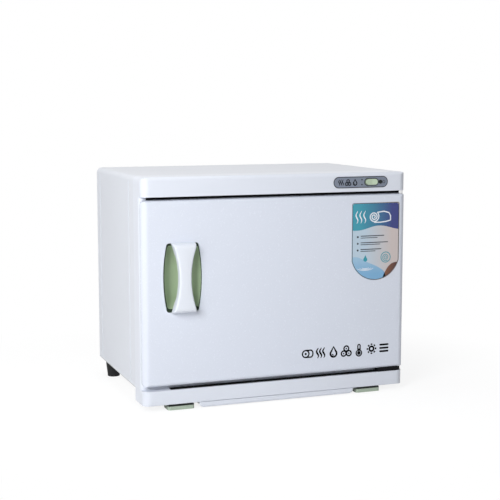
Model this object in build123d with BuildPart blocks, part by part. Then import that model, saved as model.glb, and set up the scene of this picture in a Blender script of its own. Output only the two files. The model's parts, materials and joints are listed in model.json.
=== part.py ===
"""Heated towel cabinet: a steel case round an aluminium chamber, with a hinged front door and a drip tray.

Millimetres. X runs to the right as seen from the front, Y to the rear and Z up. The origin is on the floor
under the middle of the whole cabinet.
"""

from build123d import *
import os
from math import cos, radians, sin, tan

# Overall sizes
cabinet_width = 450
body_depth = 300
handle_proud = 17
gland_proud = 5

# Heights of the front, from the floor up
floor_gap = 10.5
rail_height = 23.1
gap_below_door = 6.5
door_height = 290.2
gap_above_door = 5.6
fascia_height = 30.9

# Walls and sheet
frame_wall = 2.5
casing_sheet = 1.2
liner_sheet = 1.0
panel_wall = 2
pan_lift = 20

# Front frame
frame_depth = 50
frame_corner = 12.5
stile_depth = 16
stile_edge = 6
case_edge = 9
fascia_edge = 6
rail_edge = 1.2
lip_length = 6
throat_corner = 8
casing_rear_bend = 3

# Margins round the opening of the chamber, and the space behind the chamber
stile_width = 32
sill_rise = 18.9
head_drop = 13.3
chamber_rear_gap = 38

# Door
door_depth = 14
door_corner = 10.5
door_face_corner = 7
door_top_edge = 4
door_bottom_edge = 5.5
plug_depth = 28
plug_gap = 4
hinge_inset = 7
hinge_reach = 7
hinge_post = 16
hinge_rear_edge = 3.4
gasket_width = 12
gasket_gap = 0.3

# Grip in the door
grip_inset = 64.8
grip_rise = 170.2
grip_half_width = 31.3
grip_end_half_width = 25.5
grip_half_height = 54
grip_corner = 5
grip_rim = 1.2
tongue_root = 18.5
tongue_tip = 12.6
tongue_reach = 38
strap_half_waist = 9.5
strap_half_end = 14.5
strap_half_length = 47
strap_foot_start = 37
strap_back_start = 30
strap_finger_gap = 4
strap_edge = 5
cup_depth = 20
cup_wall = 1.6
cup_flange = 4

# Hinge pins and bushes
pin_radius = 2.2
running_gap = 0.05
bush_radius = 3.8
bush_length = 14
pin_engagement = 12
collar_radius = 4.2
hinge_boss_radius = 4.4
end_play = 0.3

# Screws
screw_shank = 1.8
screw_head = 3.4
screw_head_height = 2
screw_gap = 0.1
foot_screw_shank = 2.4
foot_screw_head = 4.5
foot_screw_head_height = 2.5
screw_hole = screw_shank + screw_gap
foot_screw_hole = foot_screw_shank + screw_gap
foot_counterbore = foot_screw_head + screw_gap

# Feet
front_foot_inset = 62.5
front_foot_depth = 19
front_foot_half_width = 21.7
rear_foot_inset = 18
rear_foot_rear_gap = 31

# Drip tray below the rail
tray_foot_gap = 7
tray_lip_overhang = 6
tray_rear_gap = 85
tray_bottom = 1.5
tray_top = 8.9
tray_wall = 1.5
tray_flange = 5
tray_clear = 0.3

# Control plate
plate_inset = 82.6
plate_drop = 15.6
plate_length = 97
plate_height = 18.3
plate_thickness = 1.6
plate_proud = 0.4
plate_gap = 0.2
rocker_offset = 18.9
rocker_half_length = 11.15
rocker_half_height = 4.65
rocker_pivot_depth = 6
rocker_tilt = 6.5
rocker_clear = 0.3
rocker_wall = 1.0
rocker_case_depth = 16
trunnion_radius = 1.0
trunnion_length = 0.85
pilot_offset = 34.9
pilot_radius = 3.2
dot_offset = 1.6
dot_radius = 1.1
dot_spacing = 8

# Small allowance by which a cut runs past the face it opens
overshoot = 1

# Places worked out from the sizes above
half_width = cabinet_width / 2
front_y = handle_proud - (handle_proud + body_depth + gland_proud) / 2
rail_bottom = floor_gap
rail_top = rail_bottom + rail_height
door_bottom = rail_top + gap_below_door
door_top = door_bottom + door_height
fascia_bottom = door_top + gap_above_door
cabinet_top = fascia_bottom + fascia_height
pan_bottom = rail_bottom + pan_lift
pan_top = pan_bottom + casing_sheet
inner_half_width = half_width - casing_sheet
opening_width = cabinet_width - 2 * stile_width
opening_bottom = door_bottom + sill_rise
opening_top = door_top - head_drop
chamber_back = body_depth - chamber_rear_gap
opening_half_width = opening_width / 2
opening_height = opening_top - opening_bottom
opening_middle = (opening_top + opening_bottom) / 2
throat_half_width = opening_half_width + frame_wall
liner_half_width = opening_half_width + liner_sheet
liner_bottom = opening_bottom - liner_sheet
liner_top = opening_top + liner_sheet
plug_half_width = opening_half_width - plug_gap
plug_bottom = opening_bottom + plug_gap
plug_top = opening_top - plug_gap
hinge_x = half_width - hinge_inset
shell_inner_right = half_width - hinge_post
grip_x = grip_inset - half_width
grip_z = door_bottom + grip_rise
plate_x = half_width - plate_inset
plate_z = cabinet_top - plate_drop
rocker_x = plate_x + rocker_offset
pilot_x = plate_x + pilot_offset
dot_x = plate_x + dot_offset
dot_heights = (plate_z - dot_spacing / 2, plate_z + dot_spacing / 2)
front_foot_x = half_width - front_foot_inset
rear_foot_x = half_width - rear_foot_inset
rear_foot_depth = body_depth - rear_foot_rear_gap
tray_lip_half_width = front_foot_x - front_foot_half_width - tray_foot_gap
tray_half_width = tray_lip_half_width - tray_lip_overhang
tray_length = body_depth - tray_rear_gap

os.makedirs("parts", exist_ok=True)


def save(builder, name):
    builder.part.label = name
    export_step(builder.part, "parts/" + name + ".step")


def level(height, x=0, depth=0):
    """Level plane at a height, with local y running to the rear from a depth behind the front."""
    return Plane((x, front_y + depth, height))


def facing(depth, x=0, height=0):
    """Upright plane seen from the front, with local y up. A negative extrusion runs to the rear."""
    return Plane(origin=(x, front_y + depth, height), x_dir=(1, 0, 0), z_dir=(0, -1, 0))


def sideways(x=-half_width, height=0):
    """Upright plane seen from the right, with local x the depth behind the front and local y up."""
    return Plane(origin=(x, front_y, height), x_dir=(0, 1, 0), z_dir=(1, 0, 0))


def block(across, depth, height, mode=Mode.ADD):
    """Box between pairs of limits: across, behind the front and above the floor."""
    with Locations((across[0], front_y + depth[0], height[0])):
        Box(across[1] - across[0], depth[1] - depth[0], height[1] - height[0], align=Align.MIN, mode=mode)


def rod(radius, depth, x, height, mode=Mode.ADD):
    """Round bar or hole along the depth."""
    with BuildSketch(facing(depth[0], x, height)) as section:
        Circle(radius)
    extrude(section.sketch, amount=depth[1] - depth[0], dir=(0, 1, 0), mode=mode)


def post(radius, height, x, depth, mode=Mode.ADD):
    """Round bar or hole from one height to another."""
    with BuildSketch(level(height[0], x, depth)) as section:
        Circle(radius)
    extrude(section.sketch, amount=height[1] - height[0], mode=mode)


def case_prism(inset, bottom, depth):
    """Solid of the case section, square at the bottom and round at the top corners, between two depths."""
    with BuildSketch(facing(depth[0], height=bottom)) as outline:
        Rectangle(
            cabinet_width - 2 * inset, cabinet_top - inset - bottom, align=(Align.CENTER, Align.MIN)
        )
        fillet(outline.vertices().group_by(Axis.Y)[-1], case_edge - inset)
    return extrude(outline.sketch, amount=depth[1] - depth[0], dir=(0, 1, 0), mode=Mode.PRIVATE)


def rear_screws(places, depth, length):
    """Pan-head screws driven forwards, with their heads' seats at one depth."""
    for x, height in places:
        rod(screw_head, (depth, depth + screw_head_height), x, height)
        rod(screw_shank, (depth - length, depth), x, height)


def mirrored(places):
    return [(side * x, height) for side in (-1, 1) for x, height in places]


# Places shared by screws, bosses and holes
liner_screw_offset = 6.5
liner_screw_margin = 30
liner_boss_radius = 4.5
door_screw_inset = 8.4
door_screw_latch_inset = 15
door_screw_hinge_inset = 19
door_screw_middles = (-70, 60)
magnet_inset = 15
magnet_margin = 26.5
magnet_radius = 6
liner_screw_x = opening_half_width + liner_screw_offset
liner_screw_heights = (opening_bottom + liner_screw_margin, opening_middle, opening_top - liner_screw_margin)
liner_screw_places = mirrored([(liner_screw_x, height) for height in liner_screw_heights])
door_screw_row = (
    door_screw_latch_inset - half_width, *door_screw_middles, shell_inner_right - door_screw_hinge_inset
)
door_screw_heights = (door_bottom + door_screw_inset, door_top - door_screw_inset)
door_screw_places = [(x, height) for x in door_screw_row for height in door_screw_heights]
magnet_x = magnet_inset - half_width
magnet_places = [(magnet_x, opening_bottom + magnet_margin), (magnet_x, opening_top - magnet_margin)]

# Front frame: one moulding with the fascia on top, a stile each side of the opening and the rail below
rocker_window_length = 2 * (rocker_half_length + rocker_clear)
rocker_window_height = 2 * (rocker_half_height + rocker_clear)
rocker_case_length = rocker_window_length + 2 * rocker_wall
rocker_case_height = rocker_window_height + 2 * rocker_wall
trough_half_length = 180
trough_depth = (3.5, 12)
trough_drop = 4
trough_wall = 2
drain_radius = 2
drain_wall = 1.5
drain_places = (-90, 0, 90)
foot_boss_radius = 6
liner_screw_length = 12
pilot_body_depth = 14

with BuildPart() as frame_hollow:
    hollow_depth = (frame_wall, frame_depth + overshoot)
    hollow_half_width = half_width - frame_wall
    with BuildSketch(level(rail_bottom + frame_wall, depth=hollow_depth[0])) as hollow_plan:
        Rectangle(
            2 * hollow_half_width, hollow_depth[1] - hollow_depth[0], align=(Align.CENTER, Align.MIN)
        )
        fillet(hollow_plan.vertices().group_by(Axis.Y)[0], frame_corner - frame_wall)
    extrude(amount=cabinet_top - rail_bottom - 2 * frame_wall)
    add(case_prism(frame_wall, rail_bottom, (0, frame_depth + overshoot)), mode=Mode.INTERSECT)
    # Stile plate behind the door
    block(
        (-half_width, half_width),
        (0, stile_depth + frame_wall),
        (rail_top - frame_wall, fascia_bottom + frame_wall),
        Mode.SUBTRACT,
    )
    # Throat wall round the opening
    block(
        (-throat_half_width, throat_half_width),
        (0, frame_depth + overshoot),
        (opening_bottom - frame_wall, opening_top + frame_wall),
        Mode.SUBTRACT,
    )
    # Walls of the drip trough and its drains
    block(
        (-trough_half_length - trough_wall, trough_half_length + trough_wall),
        (trough_depth[0] - trough_wall, trough_depth[1] + trough_wall),
        (rail_top - trough_drop - trough_wall, rail_top),
        Mode.SUBTRACT,
    )
    for drain_x in drain_places:
        post(
            drain_radius + drain_wall,
            (rail_bottom, rail_top),
            drain_x,
            sum(trough_depth) / 2,
            Mode.SUBTRACT,
        )
    # Bosses for the hinge pins, the liner screws and the front feet
    post(hinge_boss_radius, (fascia_bottom, fascia_bottom + pin_engagement), hinge_x, hinge_reach,
         Mode.SUBTRACT)
    post(hinge_boss_radius, (rail_bottom, rail_top), hinge_x, hinge_reach, Mode.SUBTRACT)
    for x, height in liner_screw_places:
        rod(liner_boss_radius, (0, frame_depth + overshoot), x, height, Mode.SUBTRACT)
    for side in (-1, 1):
        post(foot_boss_radius, (rail_bottom, rail_top), side * front_foot_x, front_foot_depth, Mode.SUBTRACT)

with BuildPart() as front_frame:
    with BuildSketch(level(rail_bottom)) as frame_plan:
        Rectangle(cabinet_width, frame_depth, align=(Align.CENTER, Align.MIN))
        fillet(frame_plan.vertices().group_by(Axis.Y)[0], frame_corner)
    extrude(amount=cabinet_top - rail_bottom)
    add(case_prism(0, rail_bottom, (0, frame_depth)), mode=Mode.INTERSECT)
    with BuildSketch(sideways()) as frame_side:
        with Locations((0, rail_bottom)):
            Rectangle(frame_depth, cabinet_top - rail_bottom, align=Align.MIN)
        front_corners = frame_side.vertices().group_by(Axis.X)[0].sort_by(Axis.Y)
        fillet(front_corners[0], rail_edge)
        fillet(frame_side.vertices().group_by(Axis.Y)[-1].sort_by(Axis.X)[0], fascia_edge)
    extrude(amount=cabinet_width, mode=Mode.INTERSECT)
    # Recess that takes the door
    block(
        (-half_width - overshoot, half_width + overshoot),
        (-overshoot, stile_depth),
        (rail_top, fascia_bottom),
        Mode.SUBTRACT,
    )
    stile_corners = (
        front_frame.edges()
        .filter_by(Axis.Z)
        .filter_by_position(Axis.Y, front_y + stile_depth, front_y + stile_depth)
    )
    fillet(
        [stile_corners.sort_by(Axis.X)[0], stile_corners.sort_by(Axis.X)[-1]],
        stile_edge,
    )
    add(frame_hollow.part, mode=Mode.SUBTRACT)
    # Lip that the casing slides over
    add(case_prism(casing_sheet, pan_top, (frame_depth, frame_depth + lip_length)))
    add(
        case_prism(frame_wall, pan_top - overshoot, (frame_depth, frame_depth + lip_length + overshoot)),
        mode=Mode.SUBTRACT,
    )
    # Opening of the chamber
    with BuildSketch(facing(0, height=opening_middle)):
        RectangleRounded(opening_width, opening_height, throat_corner)
    extrude(amount=-frame_depth - overshoot, mode=Mode.SUBTRACT)
    # Drip trough and its drains
    block(
        (-trough_half_length, trough_half_length),
        trough_depth,
        (rail_top - trough_drop, rail_top + overshoot),
        Mode.SUBTRACT,
    )
    for drain_x in drain_places:
        post(drain_radius, (rail_bottom - overshoot, rail_top), drain_x, sum(trough_depth) / 2, Mode.SUBTRACT)
    # Holes for the hinge pins, the liner screws and the foot screws
    post(pin_radius, (fascia_bottom - overshoot, fascia_bottom + pin_engagement - frame_wall), hinge_x,
         hinge_reach, Mode.SUBTRACT)
    post(pin_radius, (rail_top - pin_engagement, rail_top + overshoot), hinge_x, hinge_reach, Mode.SUBTRACT)
    for x, height in liner_screw_places:
        rod(screw_hole, (frame_depth - liner_screw_length, frame_depth + overshoot), x, height, Mode.SUBTRACT)
    for side in (-1, 1):
        post(foot_screw_hole, (rail_bottom - overshoot, rail_top - frame_wall),
             side * front_foot_x, front_foot_depth, Mode.SUBTRACT)
    for x, height in magnet_places:
        rod(magnet_radius, (0, stile_depth + frame_wall + overshoot), x, height, Mode.SUBTRACT)
    # Pocket for the control plate, with the rocker, pilot lamp and indicator holes behind it
    with BuildSketch(facing(-overshoot, plate_x, plate_z)):
        SlotOverall(plate_length + 2 * plate_gap, plate_height + 2 * plate_gap)
    extrude(amount=-overshoot - plate_thickness + plate_proud, mode=Mode.SUBTRACT)
    with BuildSketch(facing(0, rocker_x, plate_z)):
        SlotOverall(rocker_case_length, rocker_case_height)
    extrude(amount=-rocker_pivot_depth, mode=Mode.SUBTRACT)
    rod(pilot_radius, (0, rocker_pivot_depth), pilot_x, plate_z, Mode.SUBTRACT)
    for height in dot_heights:
        rod(dot_radius, (0, rocker_pivot_depth), dot_x, height, Mode.SUBTRACT)
save(front_frame, "front_frame")

# Sill channel: a black lining of the drip trough with a low lip along its rear, whose right end is the pad
# that the door turns on
channel_wall = 1
channel_lip = 1.6
pad_front = 1.5
pad_rear_gap = 0.5
pad_edge_gap = 2
pad_corner = 10.5
channel_depth = (trough_depth[0] + channel_wall, trough_depth[1] - channel_wall)
channel_floor = rail_top - trough_drop + channel_wall
channel_half_length = trough_half_length - channel_wall
pad_length = half_width - pad_edge_gap - channel_half_length

with BuildPart() as sill_channel:
    block((-trough_half_length, trough_half_length), trough_depth, (rail_top - trough_drop, rail_top))
    block(
        (-channel_half_length, channel_half_length),
        channel_depth,
        (channel_floor, rail_top + overshoot),
        Mode.SUBTRACT,
    )
    for drain_x in drain_places:
        post(drain_radius, (rail_top - trough_drop, channel_floor), drain_x, sum(trough_depth) / 2,
             Mode.SUBTRACT)
    block(
        (-trough_half_length, trough_half_length),
        (channel_depth[1], trough_depth[1]),
        (rail_top, rail_top + channel_lip),
    )
    with BuildSketch(level(rail_top)) as pad_plan:
        with Locations((channel_half_length, pad_front)):
            Rectangle(pad_length, stile_depth - pad_rear_gap - pad_front, align=Align.MIN)
        fillet(pad_plan.vertices().group_by(Axis.Y)[0].sort_by(Axis.X)[-1], pad_corner)
        with Locations((hinge_x, hinge_reach)):
            Circle(pin_radius + running_gap, mode=Mode.SUBTRACT)
    extrude(amount=gap_below_door - end_play)
save(sill_channel, "sill_channel")

# Outer casing: one steel sheet over both sides and the top, turned in at the rear and at each side's foot
casing_rear_flange = 13
casing_foot_flange = 12
bead_width = 3
bead_drop = 0.5
bead_setbacks = (28, 26)
rear_screw_inset = 7
rear_screw_length = 8
side_screw_margin = 30
row_screw_places = (-140, 0, 140)
side_screw_heights = (pan_top + side_screw_margin, opening_middle, cabinet_top - side_screw_margin)
bead_depths = (frame_depth + bead_setbacks[0], body_depth - bead_setbacks[1])
side_screw_x = half_width - rear_screw_inset
casing_screw_places = mirrored([(side_screw_x, height) for height in side_screw_heights])
casing_screw_places += [(x, cabinet_top - rear_screw_inset) for x in row_screw_places]
pan_rear_flange = 10
flange_gap = 1
pan_screw_places = [(x, pan_top + pan_rear_flange / 2) for x in row_screw_places]
foot_screw_row_x = inner_half_width - casing_foot_flange / 2
base_screw_margins = (40, 34)
base_screw_first = frame_depth + base_screw_margins[0]
base_screw_last = rear_foot_depth - base_screw_margins[1]
base_screw_depths = (base_screw_first, (base_screw_first + base_screw_last) / 2, base_screw_last)

with BuildPart() as outer_casing:
    add(case_prism(0, pan_top, (frame_depth, body_depth)))
    rear_edges = outer_casing.faces().sort_by(Axis.Y)[-1].edges().sort_by(Axis.Z)[1:]
    fillet(rear_edges, casing_rear_bend)
    add(
        case_prism(casing_sheet, pan_top - overshoot, (frame_depth - overshoot, body_depth - casing_sheet)),
        mode=Mode.SUBTRACT,
    )
    rear_window_half_width = half_width - casing_rear_flange
    block(
        (-rear_window_half_width, rear_window_half_width),
        (body_depth - 2 * casing_sheet, body_depth + overshoot),
        (pan_top - overshoot, cabinet_top - casing_rear_flange),
        Mode.SUBTRACT,
    )
    for side in (-1, 1):
        foot_limits = sorted((side * (inner_half_width - casing_foot_flange), side * inner_half_width))
        block(
            foot_limits,
            (frame_depth + lip_length, body_depth - 2 * casing_sheet),
            (pan_top, pan_top + casing_sheet),
        )
        for bead_depth in bead_depths:
            block(
                sorted((side * (half_width - bead_drop), side * (half_width + overshoot))),
                (bead_depth - bead_width / 2, bead_depth + bead_width / 2),
                (pan_top - overshoot, cabinet_top - case_edge),
                Mode.SUBTRACT,
            )
        for screw_depth in base_screw_depths:
            post(screw_hole, (pan_bottom, pan_top + 2 * casing_sheet), side * foot_screw_row_x,
                 screw_depth, Mode.SUBTRACT)
    for x, height in casing_screw_places:
        rod(screw_hole, (body_depth - 2 * casing_sheet, body_depth + overshoot), x, height,
            Mode.SUBTRACT)
save(outer_casing, "outer_casing")

# Rear panel, held between the casing's rear flange and the base pan's
vent_width = 4
vent_height = 22
vent_pitch = 10
vent_count = 14
vent_x = -100
vent_drop = 27.8
gland_inset = 75
gland_bore = 3.4
gland_thread = 7
gland_flange = 11
gland_inside = 16
gland_nut_radius = 10.5
gland_nut_height = 4
vent_z = cabinet_top - vent_drop
gland_x = half_width - gland_inset
gland_z = vent_z
panel_depth = (body_depth - 2 * casing_sheet, body_depth - casing_sheet)

with BuildPart() as rear_panel:
    add(case_prism(casing_sheet, pan_top, panel_depth))
    with BuildSketch(facing(panel_depth[0], vent_x, vent_z)):
        with GridLocations(vent_pitch, vent_height, vent_count, 1):
            SlotOverall(vent_height, vent_width, rotation=90)
    extrude(amount=-2 * casing_sheet, mode=Mode.SUBTRACT)
    rod(gland_thread, panel_depth, gland_x, gland_z, Mode.SUBTRACT)
    for x, height in casing_screw_places + pan_screw_places:
        rod(screw_hole, panel_depth, x, height, Mode.SUBTRACT)
save(rear_panel, "rear_panel")

# Base pan, with a front flange that closes the rail and a rear flange that carries the rear panel
pan_slot_length = 60
pan_slot_width = 4
pan_slot_pitch = 12
pan_slot_columns = 2
pan_slot_rows = 6

with BuildPart() as base_pan:
    with BuildSketch(level(pan_bottom, depth=frame_depth)) as pan_plan:
        Rectangle(cabinet_width, body_depth - frame_depth, align=(Align.CENTER, Align.MIN))
        fillet(pan_plan.vertices().group_by(Axis.Y)[-1], casing_rear_bend)
        with Locations((0, (body_depth - frame_depth) / 2)):
            with GridLocations(2 * pan_slot_length, pan_slot_pitch, pan_slot_columns, pan_slot_rows):
                SlotOverall(pan_slot_length, pan_slot_width, mode=Mode.SUBTRACT)
    extrude(amount=casing_sheet)
    block(
        (frame_wall - half_width, half_width - frame_wall),
        (frame_depth, frame_depth + casing_sheet),
        (rail_bottom, pan_bottom),
    )
    block(
        (flange_gap - rear_window_half_width, rear_window_half_width - flange_gap),
        (body_depth - casing_sheet, body_depth),
        (pan_top, pan_top + pan_rear_flange),
    )
    for x, height in pan_screw_places:
        rod(screw_hole, (body_depth - 2 * casing_sheet, body_depth), x, height, Mode.SUBTRACT)
    for side in (-1, 1):
        post(foot_screw_hole, (pan_bottom, pan_top), side * rear_foot_x, rear_foot_depth,
             Mode.SUBTRACT)
        for screw_depth in base_screw_depths:
            post(screw_hole, (pan_bottom, pan_top), side * foot_screw_row_x, screw_depth,
                 Mode.SUBTRACT)
save(base_pan, "base_pan")

# Inner liner: a drawn aluminium box with a flange that screws to the front frame
liner_flange = 12
liner_flange_rise = 8
lamp_x = 150
lamp_rear_gap = 22
lamp_wire_hole = 3
lamp_depth = chamber_back - lamp_rear_gap

with BuildPart() as inner_liner:
    with BuildSketch(facing(frame_depth, height=opening_middle)):
        RectangleRounded(
            2 * liner_half_width, opening_height + 2 * liner_sheet, throat_corner + liner_sheet
        )
    extrude(amount=frame_depth - chamber_back - liner_sheet)
    with BuildSketch(facing(frame_depth, height=opening_middle)):
        RectangleRounded(
            2 * (liner_half_width + liner_flange),
            opening_height + 2 * (liner_sheet + liner_flange_rise),
            throat_corner / 2,
        )
    extrude(amount=-liner_sheet)
    with BuildSketch(facing(frame_depth - overshoot, height=opening_middle)):
        RectangleRounded(opening_width, opening_height, throat_corner)
    extrude(amount=frame_depth - overshoot - chamber_back, mode=Mode.SUBTRACT)
    for x, height in liner_screw_places:
        rod(screw_hole, (frame_depth, frame_depth + liner_sheet), x, height, Mode.SUBTRACT)
    for side in (-1, 1):
        post(lamp_wire_hole, (opening_top - overshoot, liner_top), side * lamp_x, lamp_depth, Mode.SUBTRACT)
save(inner_liner, "inner_liner")

# Legs that carry the rear of the liner on the base pan
leg_width = 20
leg_x = 100
leg_reach = 11

with BuildPart() as liner_legs:
    for side in (-1, 1):
        leg_across = (side * leg_x - leg_width / 2, side * leg_x + leg_width / 2)
        leg_depth = (chamber_back - leg_reach, chamber_back)
        block(leg_across, (chamber_back - casing_sheet, chamber_back), (pan_top, liner_bottom))
        block(leg_across, leg_depth, (liner_bottom - casing_sheet, liner_bottom))
        block(leg_across, leg_depth, (pan_top, pan_top + casing_sheet))
save(liner_legs, "liner_legs")

# Heater pad under the liner and the blankets round it
heater_half_width = 150
heater_margins = (30, 22)
heater_thickness = 2
blanket_foot_gap = 5.3
blanket_head_gap = 4
blanket_side_gap = 2.8
blanket_front_gap = 10
rear_blanket_inset = 6
rear_blanket_thickness = 30
rear_blanket_overhang = 13
wire_way_width = 70
top_blanket_inset = 9
top_blanket_rear_gap = 37
top_blanket_thickness = 12
base_blanket_inset = 14
liner_back = chamber_back + liner_sheet
heater_depth = (frame_depth + heater_margins[0], chamber_back - heater_margins[1])
blanket_depth = (frame_depth + lip_length, chamber_back)
blanket_height = (pan_top + blanket_foot_gap, opening_top - blanket_head_gap)
rear_blanket_half_width = liner_half_width - rear_blanket_inset
rear_blanket_bottom = liner_bottom - rear_blanket_overhang
top_blanket_half_width = liner_half_width - top_blanket_inset
top_blanket_depth = (frame_depth + blanket_front_gap, chamber_back - top_blanket_rear_gap)
base_blanket_half_width = liner_half_width - base_blanket_inset
base_blanket_depth = (frame_depth + blanket_front_gap, chamber_back - leg_reach - casing_sheet)

# Places of the thermostat and the thermal cut-out, side by side in the wire way
disc_middle = 125
disc_pitch = 30
disc_rise = 52
thermostat_x = disc_middle - disc_pitch / 2
cutout_x = disc_middle + disc_pitch / 2
disc_z = opening_bottom + disc_rise
wire_way = (disc_middle - wire_way_width / 2, disc_middle + wire_way_width / 2)

with BuildPart() as heater_pad:
    block(
        (-heater_half_width, heater_half_width),
        heater_depth,
        (liner_bottom - heater_thickness, liner_bottom),
    )
save(heater_pad, "heater_pad")

for side, name in ((-1, "left_blanket"), (1, "right_blanket")):
    with BuildPart() as side_blanket:
        block(
            sorted((side * liner_half_width, side * (inner_half_width - blanket_side_gap))),
            blanket_depth,
            blanket_height,
        )
    save(side_blanket, name)

with BuildPart() as rear_blanket:
    for rear_across in ((-rear_blanket_half_width, wire_way[0]), (wire_way[1], rear_blanket_half_width)):
        block(
            rear_across,
            (liner_back, liner_back + rear_blanket_thickness),
            (rear_blanket_bottom, blanket_height[1]),
        )
save(rear_blanket, "rear_blanket")

with BuildPart() as base_blanket:
    block(
        (-base_blanket_half_width, base_blanket_half_width),
        base_blanket_depth,
        (pan_top, liner_bottom - heater_thickness),
    )
save(base_blanket, "base_blanket")

with BuildPart() as top_blanket:
    block(
        (-top_blanket_half_width, top_blanket_half_width),
        top_blanket_depth,
        (liner_top, liner_top + top_blanket_thickness),
    )
save(top_blanket, "top_blanket")

# Thermostat and thermal cut-out on the back of the liner
disc_radius = 8
disc_height = 9
tab_half_width = 3
tab_rise = 4
tab_thickness = 4
tab_length = 6
tab_depth = (liner_back + tab_rise, liner_back + tab_rise + tab_thickness)
tab_middle = sum(tab_depth) / 2

for name, disc_x, tab_side in (("thermostat", thermostat_x, 1), ("thermal_cutout", cutout_x, -1)):
    with BuildPart() as disc:
        rod(disc_radius, (liner_back, liner_back + disc_height), disc_x, disc_z)
        block(
            (disc_x - tab_half_width, disc_x + tab_half_width),
            tab_depth,
            sorted((disc_z, disc_z + tab_side * (disc_radius + tab_length))),
        )
    save(disc, name)

# Ledges riveted to the chamber's sides, and the two wire racks that rest on them
ledge_width = 10
ledge_front_gap = 5
ledge_rear_gap = 12
lower_rack_rise = 22
upper_rack_rise = 132
rack_wire = 2
rack_bar = 1.2
rack_side_gap = 7
rack_front_gap = 8
rack_rear_gap = 10
rack_corner = 12
rack_bar_count = 19
ledge_depth = (frame_depth + ledge_front_gap, chamber_back - ledge_rear_gap)
rack_heights = (
    ("lower_rack", opening_bottom + lower_rack_rise),
    ("upper_rack", opening_bottom + upper_rack_rise),
)
rack_half_width = opening_half_width - rack_side_gap
rack_depth = (plug_depth + rack_front_gap, chamber_back - rack_rear_gap)

with BuildPart() as rack_ledges:
    for name, height in rack_heights:
        for side in (-1, 1):
            block(
                sorted((side * (opening_half_width - ledge_width), side * opening_half_width)),
                ledge_depth,
                (height - liner_sheet, height),
            )
            block(
                sorted((side * (opening_half_width - liner_sheet), side * opening_half_width)),
                ledge_depth,
                (height - ledge_width, height),
            )
save(rack_ledges, "rack_ledges")

for name, height in rack_heights:
    with BuildPart() as rack:
        with BuildLine(level(height + rack_wire)) as rack_rim:
            FilletPolyline(
                (rack_half_width, rack_depth[0]),
                (rack_half_width, rack_depth[1]),
                (-rack_half_width, rack_depth[1]),
                (-rack_half_width, rack_depth[0]),
                radius=rack_corner,
                close=True,
            )
        with BuildSketch(Plane(rack_rim.line @ 0, z_dir=rack_rim.line % 0)):
            Circle(rack_wire)
        sweep(path=rack_rim.line)
        bar_pitch = 2 * rack_half_width / (rack_bar_count + 1)
        for index in range(1, rack_bar_count + 1):
            rod(rack_bar, rack_depth, index * bar_pitch - rack_half_width, height + rack_wire)
    save(rack, name)

# Germicidal tube under the chamber's ceiling, with its caps, holders and slotted guard
lamp_drop = 17
tube_radius = 7.75
cap_radius = 8
cap_length = 12
holder_length = 12
holder_half_depth = 8
holder_drop = 30
guard_end_gap = 12
guard_half_depth = 14
guard_drop = 31
guard_slot_width = 14
guard_slot_pitch = 24
guard_slot_count = 12
guard_rim = 3
lamp_z = opening_top - lamp_drop
guard_half_length = lamp_x + guard_end_gap
tube_half_length = lamp_x - holder_length / 2 - cap_length

with BuildPart() as uv_tube:
    with BuildSketch(Plane.YZ.offset(-tube_half_length)):
        with Locations((front_y + lamp_depth, lamp_z)):
            Circle(tube_radius)
    extrude(amount=2 * tube_half_length)
save(uv_tube, "uv_tube")

with BuildPart() as tube_caps:
    for side in (-1, 1):
        with BuildSketch(Plane.YZ.offset(side * tube_half_length)):
            with Locations((front_y + lamp_depth, lamp_z)):
                Circle(cap_radius)
        extrude(amount=side * cap_length)
save(tube_caps, "tube_caps")

with BuildPart() as lamp_holders:
    for side in (-1, 1):
        block(
            (side * lamp_x - holder_length / 2, side * lamp_x + holder_length / 2),
            (lamp_depth - holder_half_depth, lamp_depth + holder_half_depth),
            (opening_top - holder_drop, opening_top),
        )
save(lamp_holders, "lamp_holders")

with BuildPart() as lamp_guard:
    guard_bottom = opening_top - guard_drop
    block(
        (-guard_half_length, guard_half_length),
        (lamp_depth - guard_half_depth, lamp_depth + guard_half_depth),
        (guard_bottom, opening_top),
    )
    block(
        (-guard_half_length - overshoot, guard_half_length + overshoot),
        (lamp_depth - guard_half_depth + liner_sheet, lamp_depth + guard_half_depth - liner_sheet),
        (guard_bottom + liner_sheet, opening_top + overshoot),
        Mode.SUBTRACT,
    )
    for index in range(guard_slot_count):
        slot_x = (index - (guard_slot_count - 1) / 2) * guard_slot_pitch
        slot_across = (slot_x - guard_slot_width / 2, slot_x + guard_slot_width / 2)
        block(
            slot_across,
            (lamp_depth - 2 * guard_half_depth, lamp_depth + 2 * guard_half_depth),
            (guard_bottom + guard_rim, opening_top - guard_rim),
            Mode.SUBTRACT,
        )
        block(
            slot_across,
            (lamp_depth - guard_half_depth + guard_rim, lamp_depth + guard_half_depth - guard_rim),
            (guard_bottom - overshoot, opening_top - guard_rim),
            Mode.SUBTRACT,
        )
save(lamp_guard, "lamp_guard")

# Electrics tray over the chamber, with the ballast, starter and terminal block on it
etray_inset = 7
etray_foot = 7
ballast_base = (-135, -35)
ballast_core = (-115, -55)
ballast_depth = (95, 135)
ballast_base_height = 2
ballast_height = 28
starter_radius = 10.5
starter_across = (-10, 24)
starter_depth = 115
starter_rise = 14.5
socket_length = 12
socket_half_depth = 12
socket_height = 27
terminal_across = (60, 120)
terminal_depth = (100, 122)
terminal_height = 16
terminal_count = 6
terminal_well = 3
terminal_well_drop = 8
etray_half_width = liner_half_width - etray_inset
etray_bottom = liner_top + top_blanket_thickness
etray_top = etray_bottom + casing_sheet
starter_z = etray_top + starter_rise

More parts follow.
